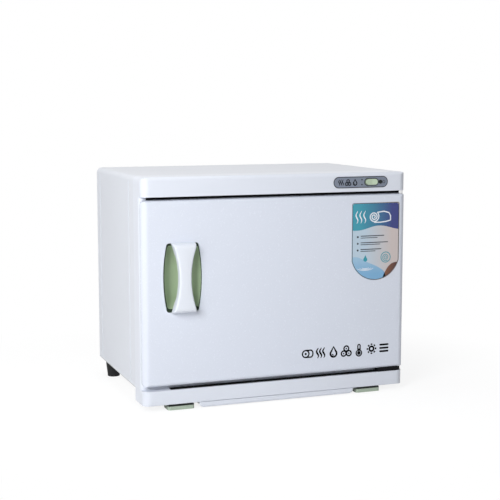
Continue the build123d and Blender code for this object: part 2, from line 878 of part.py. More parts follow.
with BuildPart() as electrics_tray:
    block((-etray_half_width, etray_half_width), top_blanket_depth, (etray_bottom, etray_top))
    etray_web = etray_half_width - casing_sheet
    for side in (-1, 1):
        block(
            sorted((side * etray_web, side * etray_half_width)),
            top_blanket_depth,
            (liner_top, etray_bottom),
        )
        block(
            sorted((side * etray_web, side * (etray_web + etray_foot))),
            top_blanket_depth,
            (liner_top, liner_top + casing_sheet),
        )
save(electrics_tray, "electrics_tray")

with BuildPart() as ballast:
    block(ballast_base, ballast_depth, (etray_top, etray_top + ballast_base_height))
    block(ballast_core, ballast_depth, (etray_top, etray_top + ballast_height))
save(ballast, "ballast")

with BuildPart() as starter:
    with BuildSketch(Plane.YZ.offset(starter_across[0])):
        with Locations((front_y + starter_depth, starter_z)):
            Circle(starter_radius)
    extrude(amount=starter_across[1] - starter_across[0])
save(starter, "starter")

with BuildPart() as starter_socket:
    block(
        (starter_across[0] - socket_length, starter_across[0]),
        (starter_depth - socket_half_depth, starter_depth + socket_half_depth),
        (etray_top, etray_top + socket_height),
    )
save(starter_socket, "starter_socket")

with BuildPart() as terminal_block:
    block(terminal_across, terminal_depth, (etray_top, etray_top + terminal_height))
    terminal_pitch = (terminal_across[1] - terminal_across[0]) / terminal_count
    for index in range(terminal_count):
        post(
            terminal_well,
            (etray_top + terminal_height - terminal_well_drop, etray_top + terminal_height),
            terminal_across[0] + terminal_pitch / 2 + index * terminal_pitch,
            sum(terminal_depth) / 2,
            Mode.SUBTRACT,
        )
save(terminal_block, "terminal_block")

# Fixed wiring, as (across, depth, height) points with a rounded bend at each turn
wire_radius = 0.9
wire_bend = 6
wire_low_rise = 8
wire_high_rise = 15
wire_turn = 20
wire_rear_lane = 180
wire_low = etray_top + wire_low_rise
wire_high = etray_top + wire_high_rise
heater_wire_z = liner_bottom - heater_thickness / 2
terminal_x = sum(terminal_across) / 2
terminal_entry = terminal_depth[0] + terminal_well
terminal_lane = terminal_across[0] - wire_turn
ballast_x = sum(ballast_core) / 2
ballast_middle = sum(ballast_depth) / 2
ballast_lane = ballast_depth[0] - wire_turn
socket_x = starter_across[0] - socket_length / 2
socket_back = starter_depth + socket_half_depth
wire_routes = (
    # Rocker to terminal block
    ((rocker_x, rocker_case_depth, plate_z), (rocker_x, top_blanket_depth[0], plate_z),
     (terminal_x, top_blanket_depth[0], wire_low), (terminal_x, terminal_depth[0], wire_low)),
    # Terminal block to ballast
    ((terminal_across[0], terminal_entry, wire_low), (terminal_lane, terminal_entry, wire_low),
     (terminal_lane, ballast_lane, wire_low), (ballast_x, ballast_lane, wire_low),
     (ballast_x, ballast_depth[0], wire_low)),
    # Ballast to the left lamp holder
    ((ballast_core[0], ballast_middle, wire_high), (-lamp_x, ballast_middle, wire_high),
     (-lamp_x, lamp_depth, wire_high), (-lamp_x, lamp_depth, opening_top)),
    # Starter to the right lamp holder
    ((socket_x, socket_back, wire_high), (socket_x, wire_rear_lane, wire_high),
     (lamp_x, wire_rear_lane, wire_high), (lamp_x, lamp_depth, wire_high), (lamp_x, lamp_depth, opening_top)),
    # Terminal block to the thermostat
    ((thermostat_x, terminal_depth[1], wire_low), (thermostat_x, tab_middle, wire_low),
     (thermostat_x, tab_middle, disc_z + disc_radius + tab_length)),
    # Cut-out to the heater pad
    ((cutout_x, tab_middle, disc_z - disc_radius - tab_length), (cutout_x, tab_middle, heater_wire_z),
     (cutout_x, heater_depth[1], heater_wire_z)),
    # Thermostat to the cut-out
    ((thermostat_x + disc_radius, tab_middle, disc_z), (cutout_x - disc_radius, tab_middle, disc_z)),
)

with BuildPart() as wiring:
    for route in wire_routes:
        points = [(x, front_y + depth, height) for x, depth, height in route]
        with BuildLine() as run:
            if len(points) > 2:
                FilletPolyline(*points, radius=wire_bend)
            else:
                Line(*points)
        with BuildSketch(Plane(run.line @ 0, z_dir=run.line % 0)):
            Circle(wire_radius)
        sweep(path=run.line)
save(wiring, "wiring")

# Control plate with the rocker's case, pilot lamp and two indicator dots
lamp_proud = 1.0
dot_proud = 0.6
board_half_width = 4
board_half_height = 9
board_thickness = 1.6

with BuildPart() as control_plate:
    with BuildSketch(facing(-plate_proud, plate_x, plate_z)):
        SlotOverall(plate_length, plate_height)
    extrude(amount=-plate_thickness)
    with BuildSketch(facing(-plate_proud, rocker_x, plate_z)):
        SlotOverall(rocker_window_length, rocker_window_height)
    extrude(amount=-plate_thickness, mode=Mode.SUBTRACT)
    rod(pilot_radius, (-plate_proud, plate_thickness), pilot_x, plate_z, Mode.SUBTRACT)
    for height in dot_heights:
        rod(dot_radius, (-plate_proud, plate_thickness), dot_x, height, Mode.SUBTRACT)
save(control_plate, "control_plate")

with BuildPart() as rocker_case:
    with BuildSketch(facing(plate_thickness - plate_proud, rocker_x, plate_z)):
        SlotOverall(rocker_case_length, rocker_case_height)
    extrude(amount=plate_thickness - plate_proud - rocker_case_depth)
    with BuildSketch(facing(0, rocker_x, plate_z)):
        SlotOverall(rocker_window_length, rocker_window_height)
    extrude(amount=rocker_wall - rocker_case_depth, mode=Mode.SUBTRACT)
    post(
        trunnion_radius + running_gap,
        (plate_z - rocker_case_height, plate_z + rocker_case_height),
        rocker_x,
        rocker_pivot_depth,
        Mode.SUBTRACT,
    )
save(rocker_case, "rocker_case")

# Rocker button at rest with its left end out, so that its outline is turned by the tilt about its pivot
rocker_top_draft = 0.81
rocker_foot_draft = 0.25
rocker_end_draft = 0.55
rocker_end_rise = 7.77
rocker_foot_rise = 1
rocker_hub_half_width = 3
rocker_hub_drop = 3
rocker_top_half_length = rocker_half_length - rocker_top_draft
rocker_foot_half_length = rocker_half_length - rocker_foot_draft
rocker_turn = radians(rocker_tilt)
rocker_valley_rise = rocker_end_rise - rocker_half_length * tan(rocker_turn)
rocker_plan_plane = Plane(
    origin=(rocker_x, front_y + rocker_pivot_depth, plate_z - rocker_half_height),
    x_dir=(cos(rocker_turn), sin(rocker_turn), 0),
    z_dir=(0, 0, 1),
)
rocker_face_plane = Plane(
    origin=(rocker_x, front_y + rocker_pivot_depth, plate_z),
    x_dir=(cos(rocker_turn), sin(rocker_turn), 0),
    z_dir=(sin(rocker_turn), -cos(rocker_turn), 0),
).offset(2 * rocker_end_rise)

with BuildPart() as rocker_button:
    with BuildSketch(rocker_plan_plane):
        with BuildLine():
            Polyline(
                (-rocker_top_half_length, -rocker_end_rise),
                (0, -rocker_valley_rise),
                (rocker_top_half_length, -rocker_end_rise),
                (rocker_foot_half_length, -rocker_foot_rise),
                (rocker_hub_half_width, rocker_hub_drop),
                (-rocker_hub_half_width, rocker_hub_drop),
                (-rocker_foot_half_length, -rocker_foot_rise),
                close=True,
            )
        make_face()
    extrude(amount=2 * rocker_half_height)
    with BuildSketch(rocker_face_plane):
        SlotOverall(2 * (rocker_half_length - rocker_end_draft), 2 * rocker_half_height)
    extrude(amount=-4 * rocker_end_rise, mode=Mode.INTERSECT)
    trunnion_reach = rocker_half_height + trunnion_length
    post(trunnion_radius, (plate_z - trunnion_reach, plate_z + trunnion_reach), rocker_x, rocker_pivot_depth)
save(rocker_button, "rocker_button")

with BuildPart() as pilot_lamp:
    rod(pilot_radius, (-plate_proud - lamp_proud, pilot_body_depth), pilot_x, plate_z)
save(pilot_lamp, "pilot_lamp")

with BuildPart() as indicator_dots:
    for height in dot_heights:
        rod(dot_radius, (-plate_proud - dot_proud, frame_wall), dot_x, height)
save(indicator_dots, "indicator_dots")

with BuildPart() as indicator_board:
    block(
        (dot_x - board_half_width, dot_x + board_half_width),
        (frame_wall, frame_wall + board_thickness),
        (plate_z - board_half_height, plate_z + board_half_height),
    )
save(indicator_board, "indicator_board")

# Cord gland and its nut on the rear panel
with BuildPart() as cord_gland:
    rod(gland_flange, (panel_depth[1], body_depth + gland_proud), gland_x, gland_z)
    rod(gland_thread, (body_depth - gland_inside, panel_depth[1]), gland_x, gland_z)
    rod(gland_bore, (0, body_depth + gland_proud), gland_x, gland_z, Mode.SUBTRACT)
save(cord_gland, "cord_gland")

with BuildPart() as gland_nut:
    with BuildSketch(facing(panel_depth[0] - gland_nut_height, gland_x, gland_z)):
        RegularPolygon(gland_nut_radius, 6)
        Circle(gland_thread, mode=Mode.SUBTRACT)
    extrude(amount=-gland_nut_height)
save(gland_nut, "gland_nut")

# Door shell: a tray-shaped moulding with a solid post on the hinge side
handle_screw_offset = 42
handle_screw_length = 10
handle_screw_places = [(grip_x, grip_z + side * handle_screw_offset) for side in (-1, 1)]
door_boss_radius = 4
door_head_radius = 3
door_head_height = 1.4
door_screw_depth = 4


def barrel(half_wide, half_high):
    """Grip outline: two long arcs that bulge sideways, with flat rounded ends."""
    end_half_wide = half_wide * grip_end_half_width / grip_half_width
    with BuildSketch() as outline:
        with BuildLine():
            for side in (-1, 1):
                ThreePointArc(
                    (side * end_half_wide, -half_high),
                    (side * half_wide, 0),
                    (side * end_half_wide, half_high),
                )
                Line((-end_half_wide, side * half_high), (end_half_wide, side * half_high))
        make_face()
        fillet(outline.vertices(), grip_corner)
    return outline.sketch


with BuildPart() as door_hollow:
    hollow_width = shell_inner_right + half_width - frame_wall
    hollow_plane = level(door_bottom + frame_wall, frame_wall - half_width, frame_wall)
    with BuildSketch(hollow_plane) as door_hollow_plan:
        Rectangle(hollow_width, door_depth, align=Align.MIN)
        front_hollow_corners = door_hollow_plan.vertices().sort_by(Axis.Y)[:2]
        fillet(front_hollow_corners.sort_by(Axis.X)[0], door_corner - frame_wall)
    extrude(amount=door_height - 2 * frame_wall)
    for x, height in door_screw_places:
        rod(door_boss_radius, (0, door_depth - panel_wall), x, height, Mode.SUBTRACT)

with BuildPart() as door_shell:
    with BuildSketch(level(door_bottom)) as door_plan:
        Rectangle(cabinet_width, door_depth, align=(Align.CENTER, Align.MIN))
        fillet(door_plan.vertices().group_by(Axis.Y)[0], door_corner)
        fillet(door_plan.vertices().group_by(Axis.Y)[-1].sort_by(Axis.X)[-1], hinge_rear_edge)
    extrude(amount=door_height)
    with BuildSketch(facing(0, height=(door_bottom + door_top) / 2)):
        RectangleRounded(cabinet_width, door_height, door_face_corner)
    extrude(amount=-door_depth, mode=Mode.INTERSECT)
    with BuildSketch(sideways()) as door_side:
        with Locations((0, door_bottom)):
            Rectangle(door_depth, door_height, align=Align.MIN)
        front_edges = door_side.vertices().group_by(Axis.X)[0].sort_by(Axis.Y)
        fillet(front_edges[0], door_bottom_edge)
        fillet(door_side.vertices().group_by(Axis.Y)[-1].sort_by(Axis.X)[0], door_top_edge)
    extrude(amount=cabinet_width, mode=Mode.INTERSECT)
    add(door_hollow.part, mode=Mode.SUBTRACT)
    # Grip opening, with a tongue at each end that the strap stands on
    with BuildSketch(facing(-overshoot, grip_x, grip_z)):
        add(barrel(grip_half_width, grip_half_height))
        for side in (-1, 1):
            with BuildLine():
                Polyline(
                    (-tongue_root, side * (grip_half_height + overshoot)),
                    (-tongue_tip, side * tongue_reach),
                    (tongue_tip, side * tongue_reach),
                    (tongue_root, side * (grip_half_height + overshoot)),
                    close=True,
                )
            make_face(mode=Mode.SUBTRACT)
    extrude(amount=-overshoot - frame_wall, mode=Mode.SUBTRACT)
    face_edges = door_shell.edges().filter_by_position(Axis.Y, front_y, front_y)
    grip_edges = face_edges.filter_by_position(
        Axis.X, grip_x - grip_half_width - overshoot, grip_x + grip_half_width + overshoot
    )
    fillet(
        grip_edges.filter_by_position(
            Axis.Z, grip_z - grip_half_height - overshoot, grip_z + grip_half_height + overshoot
        ),
        grip_rim,
    )
    for x, height in handle_screw_places:
        rod(screw_hole, (0, frame_wall), x, height, Mode.SUBTRACT)
    for x, height in door_screw_places:
        rod(screw_hole, (door_screw_depth, door_depth), x, height, Mode.SUBTRACT)
    # Bores for the hinge bushes
    post(bush_radius, (door_bottom, door_bottom + bush_length), hinge_x, hinge_reach, Mode.SUBTRACT)
    post(bush_radius, (door_top - bush_length, door_top), hinge_x, hinge_reach, Mode.SUBTRACT)
save(door_shell, "door_shell")

# Inner panel: a flange inside the shell and a plug that fills the throat of the opening
plug_corner = 6
strike_radius = 7
strike_thickness = 1.2

with BuildPart() as door_inner_panel:
    block(
        (frame_wall - half_width, shell_inner_right),
        (door_depth - panel_wall, door_depth),
        (door_bottom + frame_wall, door_top - frame_wall),
    )
    with BuildSketch(facing(door_depth - panel_wall, height=opening_middle)):
        RectangleRounded(2 * plug_half_width, plug_top - plug_bottom, plug_corner)
    extrude(amount=door_depth - panel_wall - plug_depth)
    with BuildSketch(facing(door_depth - panel_wall, height=opening_middle)):
        RectangleRounded(
            2 * (plug_half_width - panel_wall),
            plug_top - plug_bottom - 2 * panel_wall,
            plug_corner - panel_wall,
        )
    extrude(amount=door_depth - plug_depth, mode=Mode.SUBTRACT)
    for x, height in door_screw_places:
        rod(screw_hole, (0, door_depth), x, height, Mode.SUBTRACT)
        rod(door_head_radius, (door_depth - door_head_height, door_depth), x, height, Mode.SUBTRACT)
    for x, height in magnet_places:
        rod(strike_radius, (door_depth - strike_thickness, door_depth), x, height, Mode.SUBTRACT)
save(door_inner_panel, "door_inner_panel")

# Foam core of the door, clear of the grip
foam_grip_gap = 5.5
foam_gap = 2
foam_left = grip_x + grip_half_width + cup_flange + foam_grip_gap

with BuildPart() as door_foam:
    block(
        (foam_left, plug_half_width - panel_wall - foam_gap),
        (frame_wall, plug_depth - panel_wall),
        (plug_bottom + panel_wall + foam_gap, plug_top - panel_wall - foam_gap),
    )
save(door_foam, "door_foam")

with BuildPart() as door_gasket:
    with BuildSketch(facing(door_depth, height=opening_middle)):
        RectangleRounded(
            2 * (plug_half_width + gasket_width), plug_top - plug_bottom + 2 * gasket_width, throat_corner
        )
        RectangleRounded(
            2 * plug_half_width, plug_top - plug_bottom, plug_corner, mode=Mode.SUBTRACT
        )
    extrude(amount=door_depth - stile_depth + gasket_gap)
save(door_gasket, "door_gasket")

# Grip: a drafted cup behind the opening and an hourglass strap across its front
cup_mouth = frame_wall
cup_waist_depth = 12
cup_waist_half_width = 24.9
cup_waist_half_height = 48
cup_floor_half_width = 16
cup_floor_half_height = 39
cup_flange_thickness = 1.5


def cup_form(extra):
    """Bowl through three grip outlines, grown sideways and downwards by a wall thickness."""
    stages = (
        (cup_mouth, grip_half_width, grip_half_height),
        (cup_waist_depth, cup_waist_half_width, cup_waist_half_height),
        (cup_depth + extra, cup_floor_half_width, cup_floor_half_height),
    )
    outlines = [
        facing(depth, grip_x, grip_z) * barrel(half_wide + extra, half_high + extra)
        for depth, half_wide, half_high in stages
    ]
    return loft(outlines, ruled=True, mode=Mode.PRIVATE)


with BuildPart() as handle_cup:
    with BuildSketch(facing(cup_mouth, grip_x, grip_z)):
        add(barrel(grip_half_width + cup_flange, grip_half_height + cup_flange))
    extrude(amount=-cup_flange_thickness)
    add(cup_form(cup_wall))
    add(cup_form(0), mode=Mode.SUBTRACT)
save(handle_cup, "handle_cup")

strap_face_edge = 3
strap_back_edge = 1.5

with BuildPart() as handle_strap:
    with BuildSketch(facing(0, grip_x, grip_z)):
        with BuildLine():
            for side in (-1, 1):
                ThreePointArc(
                    (side * strap_half_end, -strap_half_length),
                    (side * strap_half_waist, 0),
                    (side * strap_half_end, strap_half_length),
                )
                Line((-strap_half_end, side * strap_half_length), (strap_half_end, side * strap_half_length))
        make_face()
    extrude(amount=handle_proud)
    with BuildSketch(sideways(grip_x - grip_half_width, grip_z)) as strap_side:
        with BuildLine():
            Polyline(
                (0, -strap_half_length),
                (-handle_proud, -strap_half_length),
                (-handle_proud, strap_half_length),
                (0, strap_half_length),
                (0, strap_foot_start),
                (-strap_finger_gap, strap_back_start),
                (-strap_finger_gap, -strap_back_start),
                (0, -strap_foot_start),
                close=True,
            )
        make_face()
        fillet(strap_side.vertices().group_by(Axis.X)[0], strap_edge)
    extrude(amount=2 * grip_half_width, mode=Mode.INTERSECT)
    strap_back_y = front_y - strap_finger_gap
    strap_sides = handle_strap.faces().sort_by(Axis.X)
    side_edges = strap_sides[0].edges() + strap_sides[-1].edges()
    fillet([edge for edge in side_edges if edge.center().Y < strap_back_y - overshoot], strap_face_edge)
    rear_edges = handle_strap.edges().filter_by_position(Axis.Y, strap_back_y, front_y, (True, False))
    rear_side_edges = [edge for edge in rear_edges if abs(edge.center().X - grip_x) > strap_half_waist / 2]
    fillet(rear_side_edges, strap_back_edge)
    for x, height in handle_screw_places:
        rod(screw_hole, (frame_wall - handle_screw_length - overshoot, 0), x, height, Mode.SUBTRACT)
save(handle_strap, "handle_strap")

with BuildPart() as handle_screws:
    rear_screws(handle_screw_places, frame_wall, handle_screw_length)
save(handle_screws, "handle_screws")

with BuildPart() as door_screws:
    for x, height in door_screw_places:
        rod(door_head_radius, (door_depth - door_head_height, door_depth), x, height)
        rod(screw_shank, (door_screw_depth, door_depth - door_head_height), x, height)
save(door_screws, "door_screws")

# Label on the door: square shoulders above and a long curve below
label_width = 86.5
label_inset = 11.5
label_drop = 12.7
label_side_height = 96.1
label_low_drop = 128.7
label_low_inset = 44.5
label_thickness = 0.25
label_corner = 3
label_right = half_width - label_inset
label_across = (label_right - label_width, label_right)
label_top = door_top - label_drop
label_shoulder = label_top - label_side_height
label_low = (label_right - label_low_inset, label_top - label_low_drop)

with BuildPart() as door_label:
    with BuildSketch(facing(-label_thickness)) as label_outline:
        with BuildLine():
            Polyline(
                (label_across[0], label_shoulder),
                (label_across[0], label_top),
                (label_across[1], label_top),
                (label_across[1], label_shoulder),
            )
            ThreePointArc((label_across[1], label_shoulder), label_low, (label_across[0], label_shoulder))
        make_face()
        fillet(label_outline.vertices().group_by(Axis.Y)[-1], label_corner)
    extrude(amount=-label_thickness)
save(door_label, "door_label")

# Hinge: pins fixed in the frame, bushes in the door
with BuildPart() as hinge_pin_top:
    post(pin_radius, (door_top - pin_engagement, fascia_bottom + pin_engagement - frame_wall), hinge_x,
         hinge_reach)
    post(collar_radius, (door_top + end_play, fascia_bottom), hinge_x, hinge_reach)
save(hinge_pin_top, "hinge_pin_top")

with BuildPart() as hinge_pin_bottom:
    post(pin_radius, (rail_top - pin_engagement, door_bottom + pin_engagement), hinge_x, hinge_reach)
save(hinge_pin_bottom, "hinge_pin_bottom")

with BuildPart() as hinge_bushes:
    for bush_run in ((door_bottom, door_bottom + bush_length), (door_top - bush_length, door_top)):
        post(bush_radius, bush_run, hinge_x, hinge_reach)
        post(pin_radius + running_gap, bush_run, hinge_x, hinge_reach, Mode.SUBTRACT)
save(hinge_bushes, "hinge_bushes")

# Magnetic catch and door sensor
catch_gap = 0.4
magnet_length = 7.6
sensor_half_width = 4
sensor_half_height = 7
sensor_thickness = 5.5
door_magnet_thickness = 3

with BuildPart() as catch_magnets:
    for x, height in magnet_places:
        rod(magnet_radius, (door_depth + catch_gap, door_depth + catch_gap + magnet_length), x, height)
save(catch_magnets, "catch_magnets")

with BuildPart() as strike_plates:
    for x, height in magnet_places:
        rod(strike_radius, (door_depth - strike_thickness, door_depth), x, height)
save(strike_plates, "strike_plates")

sensor_across = (magnet_x - sensor_half_width, magnet_x + sensor_half_width)
sensor_height = (opening_middle - sensor_half_height, opening_middle + sensor_half_height)
stile_back = stile_depth + frame_wall
panel_front = door_depth - panel_wall

with BuildPart() as door_sensor:
    block(sensor_across, (stile_back, stile_back + sensor_thickness), sensor_height)
save(door_sensor, "door_sensor")

with BuildPart() as sensor_magnet:
    block(sensor_across, (panel_front - door_magnet_thickness, panel_front), sensor_height)
save(sensor_magnet, "sensor_magnet")

# Drip tray: its lip hangs below the rail as the cabinet's skirt, and it slides on two runners
lip_thickness = 4
lip_corner = 7.5
lip_edge = 3
lip_top = rail_bottom - tray_clear
flange_bottom = tray_top - tray_wall
runner_sheet = 1.5
runner_front_gap = 2
runner_rear_gap = 50
runner_foot = 8
runner_depth = (frame_depth + runner_front_gap, body_depth - runner_rear_gap)
runner_inner = tray_half_width + 2 * tray_clear
runner_outer = tray_half_width + tray_flange + tray_clear + runner_sheet
ledge_top = flange_bottom - tray_clear
keeper_bottom = tray_top + tray_clear

with BuildPart() as drip_tray:
    with BuildSketch(facing(0)) as lip_outline:
        with Locations((0, tray_bottom)):
            Rectangle(2 * tray_lip_half_width, lip_top - tray_bottom, align=(Align.CENTER, Align.MIN))
        fillet(lip_outline.vertices().group_by(Axis.Y)[0], lip_corner)
    extrude(amount=-lip_thickness)
    fillet(drip_tray.edges().group_by(Axis.Y)[0].filter_by(Axis.X).sort_by(Axis.Z)[0], lip_edge)
    block((-tray_half_width, tray_half_width), (lip_thickness, tray_length), (tray_bottom, tray_top))
    block(
        (tray_wall - tray_half_width, tray_half_width - tray_wall),
        (lip_thickness, tray_length - tray_wall),
        (tray_bottom + tray_wall, tray_top + overshoot),
        Mode.SUBTRACT,
    )
    for side in (-1, 1):
        block(
            sorted((side * tray_half_width, side * (tray_half_width + tray_flange))),
            (lip_thickness, tray_length),
            (flange_bottom, tray_top),
        )
save(drip_tray, "drip_tray")

with BuildPart() as tray_runners:
    for side in (-1, 1):
        block(
            sorted((side * (runner_outer - runner_sheet), side * runner_outer)),
            runner_depth,
            (ledge_top - runner_sheet, pan_bottom),
        )
        runner_across = sorted((side * runner_inner, side * runner_outer))
        block(runner_across, runner_depth, (ledge_top - runner_sheet, ledge_top))
        block(runner_across, runner_depth, (keeper_bottom, keeper_bottom + runner_sheet))
        block(
            sorted((side * (runner_outer - runner_foot), side * runner_outer)),
            runner_depth,
            (pan_bottom - runner_sheet, pan_bottom),
        )
save(tray_runners, "tray_runners")

# Feet, each a moulding with its screw in a counterbore
front_foot_half_depth = 14
front_foot_height = 7.5
front_foot_corner = 4
front_foot_neck_inset = 3
front_seat = 3.5
rear_foot_bottom_radius = 10.4
rear_foot_top_radius = 13
rear_foot_taper = 22
rear_seat = 8
foot_screw_rise = 4.4

with BuildPart() as front_feet:
    for side in (-1, 1):
        with BuildSketch(level(0, side * front_foot_x, front_foot_depth)):
            RectangleRounded(2 * front_foot_half_width, 2 * front_foot_half_depth, front_foot_corner)
        extrude(amount=front_foot_height)
        with BuildSketch(level(front_foot_height, side * front_foot_x, front_foot_depth)):
            RectangleRounded(
                2 * (front_foot_half_width - front_foot_neck_inset),
                2 * (front_foot_half_depth - front_foot_neck_inset),
                front_foot_corner,
            )
        extrude(amount=rail_bottom - front_foot_height)
        post(foot_counterbore, (0, front_seat), side * front_foot_x, front_foot_depth, Mode.SUBTRACT)
        post(foot_screw_hole, (0, rail_bottom), side * front_foot_x, front_foot_depth, Mode.SUBTRACT)
save(front_feet, "front_feet")

with BuildPart() as rear_feet:
    for side in (-1, 1):
        with BuildSketch(level(0, side * rear_foot_x, rear_foot_depth)):
            Circle(rear_foot_bottom_radius)
        with BuildSketch(level(rear_foot_taper, side * rear_foot_x, rear_foot_depth)):
            Circle(rear_foot_top_radius)
        loft()
        post(rear_foot_top_radius, (rear_foot_taper, pan_bottom), side * rear_foot_x, rear_foot_depth)
        post(foot_counterbore, (0, rear_seat), side * rear_foot_x, rear_foot_depth, Mode.SUBTRACT)
        post(foot_screw_hole, (0, pan_bottom), side * rear_foot_x, rear_foot_depth, Mode.SUBTRACT)
save(rear_feet, "rear_feet")

foot_screw_runs = (
    (front_foot_x, front_foot_depth, front_seat, rail_top - 2 * frame_wall),
    (rear_foot_x, rear_foot_depth, rear_seat, pan_top + foot_screw_rise),
)
with BuildPart() as foot_screws:
    for side in (-1, 1):
        for x, depth, seat, tip in foot_screw_runs:
            post(foot_screw_head, (seat - foot_screw_head_height, seat), side * x, depth)
            post(foot_screw_shank, (seat, tip), side * x, depth)
save(foot_screws, "foot_screws")

# Sheet-metal screws
base_screw_rise = 4
base_screw_foot = pan_bottom - screw_head_height

with BuildPart() as base_screws:
    for side in (-1, 1):
        for screw_depth in base_screw_depths:
            post(screw_head, (base_screw_foot, pan_bottom), side * foot_screw_row_x, screw_depth)
            post(screw_shank, (pan_bottom, pan_top + base_screw_rise), side * foot_screw_row_x, screw_depth)
save(base_screws, "base_screws")

with BuildPart() as casing_screws:
    rear_screws(casing_screw_places + pan_screw_places, body_depth, rear_screw_length)
save(casing_screws, "casing_screws")

with BuildPart() as liner_screws:
    rear_screws(liner_screw_places, frame_depth + liner_sheet, liner_screw_length)
save(liner_screws, "liner_screws")
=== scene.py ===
import json
from math import cos, hypot, pi, radians, sin

import bmesh
import bpy
from mathutils import Matrix, Vector


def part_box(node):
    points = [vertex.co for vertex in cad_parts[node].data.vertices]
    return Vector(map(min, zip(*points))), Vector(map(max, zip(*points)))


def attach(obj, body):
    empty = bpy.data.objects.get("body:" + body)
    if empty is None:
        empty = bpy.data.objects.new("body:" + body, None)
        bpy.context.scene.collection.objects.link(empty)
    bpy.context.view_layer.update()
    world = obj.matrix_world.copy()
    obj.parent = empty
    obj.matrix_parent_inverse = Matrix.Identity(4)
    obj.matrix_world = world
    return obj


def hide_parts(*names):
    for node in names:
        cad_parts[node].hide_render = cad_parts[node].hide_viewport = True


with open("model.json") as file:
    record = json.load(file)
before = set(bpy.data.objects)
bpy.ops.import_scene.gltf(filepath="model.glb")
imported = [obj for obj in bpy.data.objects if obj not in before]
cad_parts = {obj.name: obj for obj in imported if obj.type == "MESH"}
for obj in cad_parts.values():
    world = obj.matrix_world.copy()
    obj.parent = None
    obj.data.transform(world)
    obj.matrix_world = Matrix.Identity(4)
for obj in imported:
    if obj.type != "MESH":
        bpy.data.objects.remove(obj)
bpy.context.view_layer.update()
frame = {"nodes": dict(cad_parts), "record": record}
nodes = frame["nodes"]
scene = bpy.context.scene
slots = {entry["node"]: entry["material_slot"] for entry in frame["record"]["subparts"]}
MM = 0.001

# Y of the door's front face, the distance within which vertices are joined, the least angle of a hard edge
FRONT_FACE = -0.144
WELD = 1e-6
SHARP_ANGLE = 35

# From here to the gland, sizes are in millimetres
# Grip cup: mouth behind the door's face, flange, wall, width at its ends as a share of the middle's, then
# (depth, share of width, share of height) from the mouth down to the floor
CUP_MOUTH = 2.5
CUP_FLANGE = 4
CUP_FLANGE_THICKNESS = 1.5
CUP_WALL = 1.6
CUP_END_SHARE = 0.815
CUP_STAGES = ((0, 1, 1), (1.5, 0.975, 0.985), (3.5, 0.935, 0.955), (6.5, 0.87, 0.92), (9.5, 0.79, 0.885),
              (12, 0.71, 0.84), (14.5, 0.62, 0.785), (16.5, 0.53, 0.73), (17.5, 0.42, 0.65))

# Painted shade round the cup's mouth, as a dark band of faces: its rings, of which the hinge side has fewer,
# and the share of the half height past which an end begins
CUP_SHADE_RINGS = 3
CUP_SHADE_RINGS_HINGE_SIDE = 1
CUP_SHADE_END_SHARE = 0.86

# Grip strap: half widths and half length, where its feet begin and end, and its roundings
STRAP_WAIST = 9.5
STRAP_END = 19.5
STRAP_HALF_LENGTH = 54.5
STRAP_FINGER_GAP = 4
STRAP_FOOT = (30, 40)
STRAP_END_ROUND = 7
STRAP_FRONT_EDGE = 3
STRAP_BACK_EDGE = 1.2
STRAP_TIP = 0.3

# Dark ring of painted shade round the rocker on the control plate: the rocker's middle from the plate's
# middle, the ring's mid-line, width and thickness
ROCKER_OFFSET = 18.9
ROCKER_SHADE_SIZE = (24.7, 11.7)
ROCKER_SHADE_WIDTH = 1.1
ROCKER_SHADE_THICKNESS = 0.45

# Row of pictograms on the door: thickness, middle of the first, height over the door's foot, and their sizes
DOOR_PRINT = 0.12
DOOR_ROW_X = 50.5
DOOR_ROW_UP = 34
DOOR_ROW = dict(pitch=23.0, size=18.5, line=3.1)

# Print on the control plate: thickness, edge line, row of pictograms, and the power mark at its right end
PLATE_PRINT = 0.1
PLATE_EDGE_INSET = 1.1
PLATE_EDGE_LINE = 1.0
PLATE_ROW_INSET = 13
PLATE_ROW = dict(pitch=12.5, size=10.5, line=1.7)
POWER_INSET = 7.5
POWER_RADIUS = 2.3
POWER_STEM = (0.4, 3)
POWER_LINE = 0.7

# Door label: thickness of each print, its edge line, and how far the shoulders, the art and the header's foot
# lie under its top
LABEL_FILM = 0.06
LABEL_EDGE = 1.3
LABEL_EDGE_LINE = 1.1
LABEL_MARGIN = 0.6
LABEL_SHOULDER = 96.1
LABEL_ART = 2.5
LABEL_HEADER = 42
LABEL_STEPS = 30

# Dark strip of painted shade on the frame's face in the gap over the door. That face lies FRAME_DEPTH behind
# the door's.
HEAD_SHADE_X = (-214, 219)
HEAD_SHADE_MARGIN = 0.5
HEAD_SHADE_THICKNESS = 0.6
FRAME_DEPTH = 16
FASCIA_BOTTOM = 335.9

# Visible screws: body, direction of the heads, head radius, head height, shank radius, and whether the head
# is flat. Each is turned a step further than the one before it, as by hand.
SCREWS = {
    "casing_screws": ("cabinet", (0, 1, 0), 3.4, 2, 1.8, False),
    "door_screws": ("door", (0, 1, 0), 3, 1.4, 1.8, True),
    "base_screws": ("cabinet", (0, 0, -1), 3.4, 2, 1.8, False),
    "foot_screws": ("cabinet", (0, 0, -1), 4.5, 2.5, 2.4, False),
}
SCREW_TURN_FIRST = 0.3
SCREW_TURN_STEP = 0.7

# Cord gland: its reach past the rear panel, the panel's thickness, the radii of its bore and thread, the
# radius past which it is ribbed, its flange's radius, the share of a radius between ribs, and its thread
GLAND_PROUD = 5
PANEL_THICKNESS = 1.2
GLAND_BORE = 3.4
GLAND_THREAD = 7
GLAND_RIBBED_PAST = 9
GLAND_FLANGE = 11
GLAND_RIB_SHARE = 0.975
THREAD_TURNS = 9
THREAD_DEPTH = 0.45

# Camera at the photograph's viewing angle. Its place, the lamps and the floor are in metres.
CAMERA_PLACE = (-0.681, -1.842, 0.4775)
CAMERA_PITCH = 82.8
CAMERA_YAW = -20.4
LENS_MM = 83.4
SENSOR_MM = 36

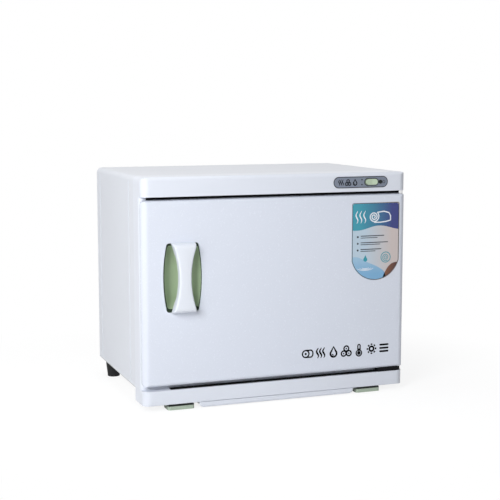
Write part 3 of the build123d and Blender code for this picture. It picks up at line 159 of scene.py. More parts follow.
# Light on the object
WORLD_COLOUR = (0.95, 0.97, 1.0)
WORLD_STRENGTH = 0.22
LAMPS = {
    "key": dict(place=(-1.2, -1.25, 0.95), size=0.8, power=27, colour=(0.98, 0.99, 1.0)),
    "front": dict(place=(0.2, -2.4, 0.5), size=1.4, power=1.5, colour=(1.0, 1.0, 1.0)),
    "top": dict(place=(-0.1, 0.15, 1.9), size=1.2, power=10, colour=(1.0, 0.98, 0.97)),
    "back": dict(place=(0.9, 2.0, 0.16), size=0.32, power=9, colour=(1.0, 1.0, 1.0)),
}
LIGHT_AIM = Vector((0.0, 0.0, 0.2))

# Floor as the camera sees it: white, with the object's soft shadow near the feet. For the rays that light the
# object it is plain, with the grey level FLOOR_BOUNCE.
FLOOR_HALF = 6
FLOOR_GLOW = 0.84
FLOOR_PALE = 0.2
FLOOR_BOUNCE = 0.8
FLOOR_FADE = (0.3, 0.62)

# Every material: octaves of its grain, how much broader its mottle is, least roughness, coat's roughness
GRAIN_DETAIL = 3
MOTTLE_BROADER = 40
LEAST_ROUGHNESS = 0.02
COAT_ROUGHNESS = 0.08


def add_camera():
    data = bpy.data.cameras.new("camera")
    data.lens = LENS_MM
    data.sensor_width = SENSOR_MM
    camera = bpy.data.objects.new("camera", data)
    camera.location = CAMERA_PLACE
    camera.rotation_euler = (radians(CAMERA_PITCH), 0, radians(CAMERA_YAW))
    scene.collection.objects.link(camera)
    scene.camera = camera


def add_light(name, place, size, power, colour):
    data = bpy.data.lights.new(name, "AREA")
    data.energy = power
    data.size = size
    data.color = colour
    light = bpy.data.objects.new(name, data)
    light.location = place
    light.rotation_euler = (LIGHT_AIM - Vector(place)).to_track_quat("-Z", "Y").to_euler()
    scene.collection.objects.link(light)


def seen_directly(tree):
    """1 for rays from the camera, a mirror or clear glass, and 0 for the rays that light the object."""
    path = tree.nodes.new("ShaderNodeLightPath")
    total = path.outputs["Is Camera Ray"]
    for name in ("Is Glossy Ray", "Is Transmission Ray"):
        larger = tree.nodes.new("ShaderNodeMath")
        larger.operation = "MAXIMUM"
        tree.links.new(total, larger.inputs[0])
        tree.links.new(path.outputs[name], larger.inputs[1])
        total = larger.outputs[0]
    return total


def background_shader(tree, colour, strength):
    shader = tree.nodes.new("ShaderNodeBackground")
    shader.inputs["Color"].default_value = (*colour, 1)
    shader.inputs["Strength"].default_value = strength
    return shader.outputs[0]


def glow_shader(tree, strength):
    glow = tree.nodes.new("ShaderNodeEmission")
    glow.inputs["Color"].default_value = (1, 1, 1, 1)
    glow.inputs["Strength"].default_value = strength
    return glow.outputs[0]


def diffuse_shader(tree, level):
    plain = tree.nodes.new("ShaderNodeBsdfDiffuse")
    plain.inputs["Color"].default_value = (level, level, level, 1)
    return plain.outputs[0]


def mixed(tree, factor, first, second):
    mix = tree.nodes.new("ShaderNodeMixShader")
    tree.links.new(factor, mix.inputs[0])
    tree.links.new(first, mix.inputs[1])
    tree.links.new(second, mix.inputs[2])
    return mix.outputs[0]


def add_world():
    world = bpy.data.worlds.new("studio")
    world.use_nodes = True
    tree = world.node_tree
    tree.nodes.clear()
    soft = background_shader(tree, WORLD_COLOUR, WORLD_STRENGTH)
    white = background_shader(tree, (1, 1, 1), 1)
    out = tree.nodes.new("ShaderNodeOutputWorld")
    tree.links.new(mixed(tree, seen_directly(tree), soft, white), out.inputs[0])
    scene.world = world


def add_floor():
    mesh = bpy.data.meshes.new("floor")
    corners = [(-FLOOR_HALF, -FLOOR_HALF, 0), (FLOOR_HALF, -FLOOR_HALF, 0),
               (FLOOR_HALF, FLOOR_HALF, 0), (-FLOOR_HALF, FLOOR_HALF, 0)]
    mesh.from_pydata(corners, [], [(0, 1, 2, 3)])
    floor = bpy.data.objects.new("floor", mesh)
    scene.collection.objects.link(floor)
    material = bpy.data.materials.new("floor")
    material.use_nodes = True
    tree = material.node_tree
    tree.nodes.clear()
    near = tree.nodes.new("ShaderNodeAddShader")
    tree.links.new(diffuse_shader(tree, FLOOR_PALE), near.inputs[0])
    tree.links.new(glow_shader(tree, FLOOR_GLOW), near.inputs[1])
    # Beyond the object's shadow the floor turns into the white of the world, so that no horizon shows
    place = tree.nodes.new("ShaderNodeTexCoord")
    distance = tree.nodes.new("ShaderNodeVectorMath")
    distance.operation = "LENGTH"
    tree.links.new(place.outputs["Object"], distance.inputs[0])
    fade = tree.nodes.new("ShaderNodeMapRange")
    fade.interpolation_type = "SMOOTHSTEP"
    fade.inputs["From Min"].default_value = FLOOR_FADE[0]
    fade.inputs["From Max"].default_value = FLOOR_FADE[1]
    tree.links.new(distance.outputs["Value"], fade.inputs["Value"])
    seen = mixed(tree, fade.outputs["Result"], near.outputs[0], glow_shader(tree, 1.0))
    bounce = diffuse_shader(tree, FLOOR_BOUNCE)
    out = tree.nodes.new("ShaderNodeOutputMaterial")
    tree.links.new(mixed(tree, seen_directly(tree), bounce, seen), out.inputs[0])
    floor.data.materials.append(material)


# Materials
def surface(name, colour, roughness, metallic=0.0, ior=1.5, coat=0.0, grain=900, stretch=(1, 1, 1),
            mottle=0.02, spread=0.05, bump=0.0, depth=0.0001, alpha=1.0, fade=None):
    """Principled material whose colour, roughness and relief vary with noise in the part's own space.

    fade = (axis, start, end, colour) turns the colour into another from one place to the next: print colours
    on the label, painted shade under the rail on the front feet.
    """
    material = bpy.data.materials.new(name)
    material.use_nodes = True
    tree = material.node_tree
    shader = tree.nodes["Principled BSDF"]
    shader.inputs["Metallic"].default_value = metallic
    shader.inputs["IOR"].default_value = ior
    shader.inputs["Coat Weight"].default_value = coat
    shader.inputs["Coat Roughness"].default_value = COAT_ROUGHNESS
    shader.inputs["Alpha"].default_value = alpha
    place = tree.nodes.new("ShaderNodeTexCoord")
    mapping = tree.nodes.new("ShaderNodeMapping")
    mapping.inputs["Scale"].default_value = stretch
    tree.links.new(place.outputs["Object"], mapping.inputs["Vector"])

    fine = tree.nodes.new("ShaderNodeTexNoise")
    fine.inputs["Scale"].default_value = grain
    fine.inputs["Detail"].default_value = GRAIN_DETAIL
    broad = tree.nodes.new("ShaderNodeTexNoise")
    broad.inputs["Scale"].default_value = grain / MOTTLE_BROADER
    tree.links.new(mapping.outputs[0], fine.inputs["Vector"])
    tree.links.new(mapping.outputs[0], broad.inputs["Vector"])

    base = colour_pair(tree, colour, mottle, broad)
    if fade:
        axis, start, end, other = fade
        split = tree.nodes.new("ShaderNodeSeparateXYZ")
        tree.links.new(place.outputs["Object"], split.inputs[0])
        along = tree.nodes.new("ShaderNodeMapRange")
        along.inputs["From Min"].default_value = start
        along.inputs["From Max"].default_value = end
        tree.links.new(split.outputs[axis], along.inputs["Value"])
        blend = tree.nodes.new("ShaderNodeMix")
        blend.data_type = "RGBA"
        tree.links.new(along.outputs["Result"], blend.inputs["Factor"])
        tree.links.new(base, blend.inputs["A"])
        tree.links.new(colour_pair(tree, other, mottle, broad), blend.inputs["B"])
        base = blend.outputs["Result"]
    tree.links.new(base, shader.inputs["Base Color"])

    shine = tree.nodes.new("ShaderNodeMapRange")
    shine.inputs["To Min"].default_value = max(roughness - spread, LEAST_ROUGHNESS)
    shine.inputs["To Max"].default_value = roughness + spread
    tree.links.new(fine.outputs["Fac"], shine.inputs["Value"])
    tree.links.new(shine.outputs["Result"], shader.inputs["Roughness"])

    if bump:
        relief = tree.nodes.new("ShaderNodeBump")
        relief.inputs["Strength"].default_value = bump
        relief.inputs["Distance"].default_value = depth
        tree.links.new(fine.outputs["Fac"], relief.inputs["Height"])
        tree.links.new(relief.outputs["Normal"], shader.inputs["Normal"])
    return material


def colour_pair(tree, colour, mottle, noise):
    """Colour that noise darkens by up to a share."""
    tint = tree.nodes.new("ShaderNodeMix")
    tint.data_type = "RGBA"
    tint.inputs["A"].default_value = (*colour, 1)
    tint.inputs["B"].default_value = (*(c * (1 - mottle) for c in colour), 1)
    tree.links.new(noise.outputs["Fac"], tint.inputs["Factor"])
    return tint.outputs["Result"]


BRUSHED = (1, 1, 60)
FINISHES = {
    "white_body": dict(colour=(0.72, 0.75, 0.82), roughness=0.3, grain=500, mottle=0.01, bump=0.05),
    "white_door": dict(colour=(0.7, 0.735, 0.82), roughness=0.26, grain=400, mottle=0.01, bump=0.05),
    "white_enamel": dict(colour=(0.71, 0.735, 0.79), roughness=0.38, grain=1400, mottle=0.015, bump=0.15),
    "rear_enamel": dict(colour=(0.7, 0.72, 0.75), roughness=0.42, grain=1400, mottle=0.015, bump=0.15),
    "galvanised": dict(colour=(0.6, 0.61, 0.62), roughness=0.42, metallic=1.0, grain=220, mottle=0.25,
                       spread=0.12, bump=0.1),
    "chamber_aluminium": dict(colour=(0.8, 0.81, 0.82), roughness=0.34, metallic=1.0, grain=300,
                              stretch=BRUSHED, mottle=0.08, spread=0.1, bump=0.2),
    "stainless_wire": dict(colour=(0.78, 0.79, 0.8), roughness=0.14, metallic=1.0, mottle=0.05),
    "stainless_sheet": dict(colour=(0.7, 0.71, 0.72), roughness=0.3, metallic=1.0, stretch=BRUSHED,
                            mottle=0.1, spread=0.1, bump=0.2),
    "pin_steel": dict(colour=(0.66, 0.66, 0.67), roughness=0.25, metallic=1.0, stretch=BRUSHED, bump=0.1),
    "screw_steel": dict(colour=(0.62, 0.63, 0.65), roughness=0.3, metallic=1.0, mottle=0.15, bump=0.05),
    "white_inner": dict(colour=(0.72, 0.74, 0.76), roughness=0.42, grain=700, mottle=0.02, bump=0.1),
    "cup_green": dict(colour=(0.43, 0.55, 0.35), roughness=0.3, grain=500, mottle=0.06, bump=0.05),
    "strap_white": dict(colour=(0.74, 0.77, 0.83), roughness=0.24, grain=400, mottle=0.01, bump=0.04),
    "gasket_rubber": dict(colour=(0.6, 0.61, 0.62), roughness=0.6, grain=900, mottle=0.08, bump=0.2),
    "plate_grey": dict(colour=(0.2, 0.23, 0.29), roughness=0.36, grain=1200, mottle=0.08, bump=0.1),
    "rocker_green": dict(colour=(0.56, 0.68, 0.5), roughness=0.25, grain=700, mottle=0.04, bump=0.04),
    "case_black": dict(colour=(0.02, 0.03, 0.022), roughness=0.5, mottle=0.2, bump=0.1),
    "pilot_dark": dict(colour=(0.01, 0.014, 0.012), roughness=0.3, ior=1.3, coat=0.1, mottle=0.2),
    "dot_lens": dict(colour=(0.012, 0.018, 0.015), roughness=0.3, ior=1.3, coat=0.1, mottle=0.2),
    "board": dict(colour=(0.03, 0.16, 0.07), roughness=0.4, mottle=0.3, bump=0.1),
    # The front feet turn near black from 5.6 to 6.4 mm up: painted shade under the rail over their tops
    "foot_green": dict(colour=(0.44, 0.52, 0.42), roughness=0.55, grain=700, mottle=0.08, bump=0.2,
                       fade=("Z", 0.0056, 0.0064, (0.012, 0.016, 0.012))),
    "foot_black": dict(colour=(0.009, 0.009, 0.01), roughness=0.65, ior=1.35, mottle=0.3, bump=0.25),
    "tray_white": dict(colour=(0.72, 0.75, 0.82), roughness=0.3, grain=500, mottle=0.01, bump=0.05),
    "bush_nylon": dict(colour=(0.7, 0.7, 0.64), roughness=0.45, mottle=0.05, bump=0.1),
    "gland_black": dict(colour=(0.015, 0.015, 0.017), roughness=0.42, mottle=0.2, bump=0.15),
    "foam": dict(colour=(0.7, 0.62, 0.4), roughness=0.9, mottle=0.2, bump=0.5),
    "blanket": dict(colour=(0.66, 0.62, 0.5), roughness=0.95, mottle=0.25, bump=0.6, depth=0.001),
    "heater_silicone": dict(colour=(0.35, 0.06, 0.03), roughness=0.6, mottle=0.2, bump=0.3),
    "wire_insulation": dict(colour=(0.55, 0.55, 0.52), roughness=0.5, mottle=0.1, bump=0.1),
    "tube_glass": dict(colour=(0.9, 0.93, 0.98), roughness=0.06, mottle=0.02, alpha=0.55),
    "cap_aluminium": dict(colour=(0.72, 0.72, 0.73), roughness=0.3, metallic=1.0, mottle=0.1, bump=0.1),
    "holder_white": dict(colour=(0.72, 0.72, 0.68), roughness=0.5, mottle=0.05, bump=0.1),
    "starter_white": dict(colour=(0.66, 0.67, 0.66), roughness=0.4, mottle=0.1, bump=0.1),
    "socket_white": dict(colour=(0.72, 0.72, 0.7), roughness=0.5, mottle=0.1, bump=0.1),
    "ballast_steel": dict(colour=(0.3, 0.3, 0.31), roughness=0.4, metallic=1.0, stretch=(60, 1, 1),
                          mottle=0.3, bump=0.3),
    "terminal_white": dict(colour=(0.72, 0.72, 0.68), roughness=0.45, mottle=0.05, bump=0.1),
    "disc_steel": dict(colour=(0.7, 0.7, 0.7), roughness=0.3, metallic=1.0, mottle=0.1, bump=0.1),
    "magnet": dict(colour=(0.03, 0.03, 0.032), roughness=0.6, mottle=0.3, bump=0.3),
    # Near-black; also used for the strip of painted shade in the gap over the door
    "channel_black": dict(colour=(0.006, 0.006, 0.008), roughness=0.8, ior=1.25, mottle=0.3, bump=0.2),
    "strike_steel": dict(colour=(0.6, 0.6, 0.6), roughness=0.35, metallic=1.0, mottle=0.15, bump=0.1),
    "sensor_case": dict(colour=(0.02, 0.02, 0.02), roughness=0.45, mottle=0.2, bump=0.1),
    "label_print": dict(colour=(0.5, 0.62, 0.72), roughness=0.25, coat=0.3, mottle=0.06,
                        fade=("X", 0.15, 0.2, (0.6, 0.52, 0.5))),
}
PRINTS = {
    "print_header": dict(colour=(0.03, 0.32, 0.42), roughness=0.22, coat=0.3, grain=600, mottle=0.1,
                         fade=("X", 0.14, 0.2, (0.02, 0.03, 0.2))),
    "print_sky": dict(colour=(0.22, 0.48, 0.75), roughness=0.22, coat=0.3, grain=600, mottle=0.25,
                      fade=("Z", 0.2, 0.24, (0.45, 0.65, 0.8))),
    "print_copper": dict(colour=(0.42, 0.14, 0.04), roughness=0.22, coat=0.3, grain=600, mottle=0.5,
                         fade=("X", 0.17, 0.205, (0.12, 0.03, 0.015))),
    "print_white": dict(colour=(0.8, 0.83, 0.88), roughness=0.25, coat=0.3, mottle=0.02),
    "print_grey": dict(colour=(0.05, 0.06, 0.075), roughness=0.5, ior=1.3, mottle=0.1),
    "print_black": dict(colour=(0.004, 0.004, 0.005), roughness=0.7, ior=1.2, grain=600, mottle=0.1),
    # Dark green for the painted shade round the grip cup's mouth
    "cup_rim": dict(colour=(0.03, 0.05, 0.03), roughness=0.4, grain=500, mottle=0.15),
    "print_teal": dict(colour=(0.02, 0.3, 0.38), roughness=0.25, coat=0.3, mottle=0.1),
}


def dress_nodes(materials):
    for name, node in nodes.items():
        node.data.materials.clear()
        node.data.materials.append(materials[slots[name]])


# Pieces
def add_piece(name, bm, body, finish, materials, smooth=False):
    """New piece that rides on a body. A finish of the record is named as its slot, and prints have none."""
    bmesh.ops.recalc_face_normals(bm, faces=bm.faces)
    mesh = bpy.data.meshes.new(name)
    bm.to_mesh(mesh)
    bm.free()
    if smooth:
        mesh.shade_smooth()
        mesh.set_sharp_from_angle(angle=radians(SHARP_ANGLE))
    mesh.materials.append(materials[finish])
    piece = bpy.data.objects.new(name, mesh)
    scene.collection.objects.link(piece)
    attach(piece, body)
    return piece


def bridge(bm, first, second):
    """Band of faces between two rings with as many vertices."""
    faces = []
    for step in range(len(first)):
        after = (step + 1) % len(first)
        faces.append(bm.faces.new((first[step], first[after], second[after], second[step])))
    return faces


def prism(bm, front, back):
    """Closed solid between two like outlines."""
    bm.faces.new(front)
    bm.faces.new(reversed(back))
    for index in range(len(front)):
        after = (index + 1) % len(front)
        bm.faces.new((front[after], front[index], back[index], back[after]))


class Print:
    """Thin raised print on an upright face seen from the front, drawn in millimetres across and up."""

    def __init__(self, face, thickness):
        self.bm = bmesh.new()
        self.front = face - thickness
        self.back = face

    def vertex(self, point, depth):
        return self.bm.verts.new((point[0] * MM, depth, point[1] * MM))

    def area(self, outline):
        front = [self.vertex(point, self.front) for point in outline]
        back = [self.vertex(point, self.back) for point in outline]
        prism(self.bm, front, back)

    def stroke(self, points, width, closed=False, taper=1.0):
        """Line of a width along points, closed in a ring or tapered to a share of its width at both ends."""
        count = len(points)
        rails = []
        for index, (x, z) in enumerate(points):
            before = points[(index - 1) % count] if closed or index else points[0]
            after = points[(index + 1) % count] if closed or index < count - 1 else points[-1]
            run = (after[0] - before[0], after[1] - before[1])
            length = hypot(*run) or 1
            share = 1 if closed else taper + (1 - taper) * sin(pi * index / (count - 1))
            side = (-run[1] / length * width / 2 * share, run[0] / length * width / 2 * share)
            rails.append([self.vertex((x + way * side[0], z + way * side[1]), depth) for way, depth in
                          ((1, self.front), (-1, self.front), (-1, self.back), (1, self.back))])
        for index in range(count if closed else count - 1):
            bridge(self.bm, rails[index], rails[(index + 1) % count])
        if not closed:
            self.bm.faces.new(rails[0])
            self.bm.faces.new(reversed(rails[-1]))

    def disc(self, middle, radius):
        self.area(circle(middle, radius, sides=20))


def circle(middle, radius, sides=28):
    return [(middle[0] + radius * cos(2 * pi * step / sides),
             middle[1] + radius * sin(2 * pi * step / sides)) for step in range(sides)]


def arc(middle, radius, start, sweep, steps, radius_up=None):
    """Points from an angle in degrees over a sweep, with another radius upwards for part of an ellipse."""
    points = []
    for step in range(steps + 1):
        angle = radians(start + sweep * step / steps)
        points.append((middle[0] + radius * cos(angle), middle[1] + (radius_up or radius) * sin(angle)))
    return points


def spiral(middle, radius, turns, steps=44, core=0.12):
    """Spiral from near the middle out to a radius, as the end of a rolled towel."""
    points = []
    for step in range(steps + 1):
        share = step / steps
        reach = radius * (core + (1 - core) * share)
        angle = 2 * pi * turns * share - pi / 2
        points.append((middle[0] + reach * cos(angle), middle[1] + reach * sin(angle)))
    return points


def wave(foot, height, swing, steps=22, cycles=1.15):
    """Rising curl of steam."""
    return [(foot[0] + swing * sin(2 * pi * cycles * step / steps), foot[1] + height * step / steps)
            for step in range(steps + 1)]


def drop(middle, radius):
    """Outline of a water drop with its point up."""
    return arc(middle, radius, 135, 270, 26) + [(middle[0], middle[1] + 2.05 * radius)]


def bar(left, middle_z, length, height, sides=6):
    """Outline of a bar with half-round ends."""
    radius = height / 2
    return (arc((left + length - radius, middle_z), radius, -90, 180, sides)
            + arc((left + radius, middle_z), radius, 90, 180, sides))


def stadium(middle, length, height, sides=16):
    """The same outline about its middle, for a ring."""
    radius = height / 2
    reach = length / 2 - radius
    return (arc((middle[0] + reach, middle[1]), radius, -90, 180, sides)
            + arc((middle[0] - reach, middle[1]), radius, 90, 180, sides))


# Pictograms of the door and the control plate. Each is drawn about its middle, in shares of its size.
def icon_roll(sheet, x, z, size, line):
    """Rolled towel on its side, with its round end to the left."""
    radius = 0.31 * size
    end = (x - 0.19 * size, z)
    sheet.stroke(circle(end, radius), 0.75 * line, closed=True)
    sheet.disc(end, 0.1 * size)
    far_end = arc((x + 0.3 * size, z), 0.2 * size, 90, -180, 10, radius_up=radius)
    sheet.stroke([(end[0], z + radius)] + far_end + [(end[0], z - radius)], 0.75 * line)


def icon_steam(sheet, x, z, size, line):
    for shift in (-0.3, 0, 0.3):
        sheet.stroke(wave((x + shift * size, z - 0.46 * size), 0.92 * size, 0.09 * size), line, taper=0.35)


def icon_drop(sheet, x, z, size, line):
    middle = (x, z - 0.16 * size)
    sheet.stroke(drop(middle, 0.3 * size), line, closed=True)
    sheet.stroke(arc(middle, 0.14 * size, 190, 90, 6), 0.6 * line)


def icon_stack(sheet, x, z, size, line):
    """Three rolls seen from their ends."""
    radius = 0.23 * size
    for across, up in ((-0.25, -0.24), (0.25, -0.24), (0, 0.2)):
        middle = (x + across * size, z + up * size)
        sheet.stroke(circle(middle, radius), 0.8 * line, closed=True)
        sheet.disc(middle, 0.07 * size)


def icon_gauge(sheet, x, z, size, line):
    """Thermometer."""
    bulb = (x, z - 0.3 * size)
    sheet.disc(bulb, 0.17 * size)
    outline = arc(bulb, 0.27 * size, 115, 310, 14) + arc((x, z + 0.36 * size), 0.115 * size, 0, 180, 8)
    sheet.stroke(outline, 0.7 * line, closed=True)
    sheet.stroke([bulb, (x, z + 0.12 * size)], 0.7 * line)


def icon_rays(sheet, x, z, size, line):
    """Lamp with eight rays."""
    sheet.stroke(circle((x, z), 0.21 * size), line, closed=True)
    for step in range(8):
        angle = radians(45 * step)
        sheet.stroke([(x + reach * size * cos(angle), z + reach * size * sin(angle))
                      for reach in (0.34, 0.48)], line)


def icon_fold(sheet, x, z, size, line):
    """Pile of three folded towels, whose height doesn't follow the line."""
    for up in (-0.3, 0, 0.3):
        sheet.area(bar(x - 0.46 * size, z + up * size, 0.92 * size, 0.17 * size))


def icon_row(sheet, icons, first_x, z, pitch, size, line):
    for index, icon in enumerate(icons):
        icon(sheet, first_x + index * pitch, z, size, line)


def door_pictograms(materials):
    middle_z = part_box("door_shell")[0][2] / MM + DOOR_ROW_UP
    sheet = Print(FRONT_FACE, DOOR_PRINT * MM)
    icons = (icon_roll, icon_steam, icon_drop, icon_stack, icon_gauge, icon_rays, icon_fold)
    icon_row(sheet, icons, DOOR_ROW_X, middle_z, **DOOR_ROW)
    add_piece("door_pictograms", sheet.bm, "door", "print_black", materials)


def door_label_prints(materials):
    """Generic print on the label: edge line, bars, coloured areas and plain motifs."""
    (left, face, low), (right, _, top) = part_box("door_label")
    left, right, low, top = (value / MM for value in (left, right, low, top))
    width = right - left
    shoulder = top - LABEL_SHOULDER
    art = top - LABEL_ART
    edge = LABEL_EDGE
    film = LABEL_FILM * MM
    steps = LABEL_STEPS

    def lower_edge(x, inset):
        """Height of the label's curved foot, as the arc through both shoulders and the lowest point."""
        half = width / 2
        drop_low = shoulder - low
        radius = (half ** 2 + drop_low ** 2) / (2 * drop_low)
        across = x - (left + right) / 2
        return shoulder - drop_low + radius - (max((radius - inset) ** 2 - across ** 2, 0)) ** 0.5

    # Thin dark line round the film
    foot = [(right - edge - (width - 2 * edge) * step / steps) for step in range(steps + 1)]
    outline = [(left + edge, top - edge - 2), (left + edge + 0.6, top - edge - 0.6),
               (left + edge + 2, top - edge), (right - edge - 2, top - edge),
               (right - edge - 0.6, top - edge - 0.6), (right - edge, top - edge - 2)]
    outline += [(x, lower_edge(x, edge)) for x in foot]
    sheet = Print(face, film)
    sheet.stroke(outline, LABEL_EDGE_LINE, closed=True)
    # Three pairs of bars under the header, each after a round mark
    for row, length in enumerate((43, 50, 38)):
        z = top - 56 - 11 * row
        sheet.disc((left + 11, z), 1.7)
        sheet.area(bar(left + 16, z + 1.2, length, 1.5))
        sheet.area(bar(left + 16, z - 1.9, 0.72 * length, 1.2))
    add_piece("label_lines", sheet.bm, "door", "print_grey", materials)

    # Header with a waved foot
    inset = edge + LABEL_MARGIN
    sheet = Print(face, film)
    foot = []
    for step in range(steps + 1):
        share = step / steps
        foot.append((right - inset - (width - 2 * inset) * share,
                     top - LABEL_HEADER - 3.6 * cos(2 * pi * share + 0.5)))
    sheet.area([(left + inset, top - inset - 2), (left + inset + 2, top - inset),
                (right - inset - 2, top - inset), (right - inset, top - inset - 2)] + foot)
    add_piece("label_header", sheet.bm, "door", "print_header", materials)

    # Sky area along the label's foot from the left, and a copper crescent to the right of it
    sheet = Print(face, film)
    reach = 0.72 * width
    rim = [left + inset + (reach - inset) * step / steps for step in range(steps + 1)]
    crest = []
    for step in range(1, steps + 1):
        share = step / steps
        x = left + reach - (reach - inset) * share
        edge_z = lower_edge(x, inset)
        rise = (shoulder + 7 - edge_z) * share ** 0.45
        crest.append((x, edge_z + rise + 1.6 * sin(3 * pi * share) * share))
    sheet.area([(x, lower_edge(x, inset)) for x in rim] + crest)
    add_piece("label_sky", sheet.bm, "door", "print_sky", materials)
    sheet = Print(face, film)
    rim = [left + (0.66 + 0.3 * step / steps) * width for step in range(steps + 1)]
    under = [(x, lower_edge(x, inset)) for x in rim]
    over = [(x, lower_edge(x, inset) + 0.4 + 13 * sin(pi * step / steps) ** 0.8)
            for step, x in enumerate(rim)]
    sheet.area(under + over[::-1])
    add_piece("label_copper", sheet.bm, "door", "print_copper", materials)

    # White motifs: steam and a rolled towel on the header, ripples below
    sheet = Print(face - film, film)
    for across in (9, 16, 23):
        sheet.stroke(wave((left + across, art - 31), 20, 1.7), 2.0, taper=0.35)
    sheet.stroke(spiral((left + 40, art - 21), 9.2, 2.4), 1.9)
    under_side = ((40, -30.2), (52, -30.4), (62, -29.4), (70, -27.6))
    upper_side = ((46, -14), (58, -12.6), (67, -15), (70, -20), (70, -27.6))
    for side in (under_side, upper_side):
        sheet.stroke([(left + across, art + up) for across, up in side], 1.9)
    for reach in (7, 11.5, 16):
        ripple = arc((left + 25, shoulder - 10), reach, 200, 140, 10, radius_up=0.34 * reach)
        sheet.stroke(ripple, 1.0, taper=0.3)
    add_piece("label_white_print", sheet.bm, "door", "print_white", materials)
    # Teal motifs: a drop over the ripples, and the end of a roll in a ring
    sheet = Print(face - film, film)
    sheet.area(drop((left + 25, shoulder + 2.5), 3.6))
    roll = (left + 62, shoulder + 5)
    sheet.stroke(circle(roll, 8.5), 1.3, closed=True)
    sheet.stroke(spiral(roll, 6.4, 2.1), 1.1)
    add_piece("label_teal_print", sheet.bm, "door", "print_teal", materials)


def plate_details(materials):
    """Dark edge on the control plate, a dark ring of painted shade round the rocker, and small pictograms
    beside it.
    """
    (left, face, low), (right, _, top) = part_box("control_plate")
    left, right, low, top = (value / MM for value in (left, right, low, top))
    middle = ((left + right) / 2, (low + top) / 2)
    rocker_x = middle[0] + ROCKER_OFFSET
    sheet = Print(face, PLATE_PRINT * MM)
    edge_size = (right - left - PLATE_EDGE_INSET, top - low - PLATE_EDGE_INSET)
    sheet.stroke(stadium(middle, *edge_size), PLATE_EDGE_LINE, closed=True)
    icons = (icon_steam, icon_stack, icon_drop)
    icon_row(sheet, icons, left + PLATE_ROW_INSET, middle[1], **PLATE_ROW)
    power = (right - POWER_INSET, middle[1])
    sheet.stroke(arc(power, POWER_RADIUS, 130, 280, 14), POWER_LINE)
    sheet.stroke([(power[0], power[1] + up) for up in POWER_STEM], POWER_LINE)
    add_piece("plate_print", sheet.bm, "cabinet", "print_black", materials)
    # Painted shade of the rocker's opening, as a dark ring
    rocker_shade = Print(face, ROCKER_SHADE_THICKNESS * MM)
    rocker_shade.stroke(stadium((rocker_x, middle[1]), *ROCKER_SHADE_SIZE), ROCKER_SHADE_WIDTH, closed=True)
    add_piece("rocker_painted_shade", rocker_shade.bm, "cabinet", "case_black", materials)


# Grip cup
def barrel(half_wide, half_high, corner=5.0, arc_steps=18, corner_steps=6):
    """Outline of the grip about its middle: two long arcs that bulge sideways, with rounded flat ends."""
    end = half_wide * CUP_END_SHARE
    quarter = []
    for step in range(arc_steps + 1):
        z = (half_high - corner) * step / arc_steps
        quarter.append((half_wide - (half_wide - end) * (z / half_high) ** 2, z))
    side_x = quarter[-1][0]
    quarter += arc((side_x - corner, half_high - corner), corner, 0, 90, corner_steps)[1:]
    quarter.append((0, half_high))
    upper = quarter + [(-x, z) for x, z in reversed(quarter[:-1])]
    return upper + [(x, -z) for x, z in reversed(upper[1:-1])]


def add_cup(materials):
    """Smooth bowl with a flange and painted shade round its mouth, as a dark band of faces, in the place of
    the cup.
    """
    low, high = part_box("handle_cup")
    middle = ((low[0] + high[0]) / 2 / MM, (low[2] + high[2]) / 2 / MM)
    wide = (high[0] - low[0]) / 2 / MM - CUP_FLANGE
    tall = (high[2] - low[2]) / 2 / MM - CUP_FLANGE
    bm = bmesh.new()

    def ring(depth, half_wide, half_high):
        return [bm.verts.new(((middle[0] + x) * MM, FRONT_FACE + depth * MM, (middle[1] + z) * MM))
                for x, z in barrel(half_wide, half_high)]

    inside = [(CUP_MOUTH + depth, wide * share_x, tall * share_z) for depth, share_x, share_z in CUP_STAGES]
    flange_back = CUP_MOUTH + CUP_FLANGE_THICKNESS
    floor = inside[-1][0]
    outside = [(max(depth, flange_back) + (CUP_WALL if depth == floor else 0), half_wide + CUP_WALL,
                half_high + CUP_WALL) for depth, half_wide, half_high in inside[1:]]
    inner = [ring(*stage) for stage in inside]
    flange = [ring(depth, wide + CUP_FLANGE, tall + CUP_FLANGE) for depth in (CUP_MOUTH, flange_back)]
    outer = [ring(*stage) for stage in outside]
    loops = inner[::-1] + flange + outer
    for index, (first, second) in enumerate(zip(loops, loops[1:])):
        from_mouth = len(inner) - 2 - index
        for face in bridge(bm, first, second):
            centre = face.calc_center_median() / MM
            at_end = abs(centre.z - middle[1]) > CUP_SHADE_END_SHARE * tall
            # The band of painted shade is wider at both ends and on the side away from the hinge
            rings = CUP_SHADE_RINGS if at_end or centre.x < middle[0] else CUP_SHADE_RINGS_HINGE_SIDE
            face.material_index = 1 if 0 <= from_mouth < rings else 0
    bm.faces.new(loops[0])
    bm.faces.new(loops[-1])
    piece = add_piece("handle_cup_bowl", bm, "door", "cup_green", materials, smooth=True)
    piece.data.materials.append(materials["cup_rim"])
    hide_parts("handle_cup")


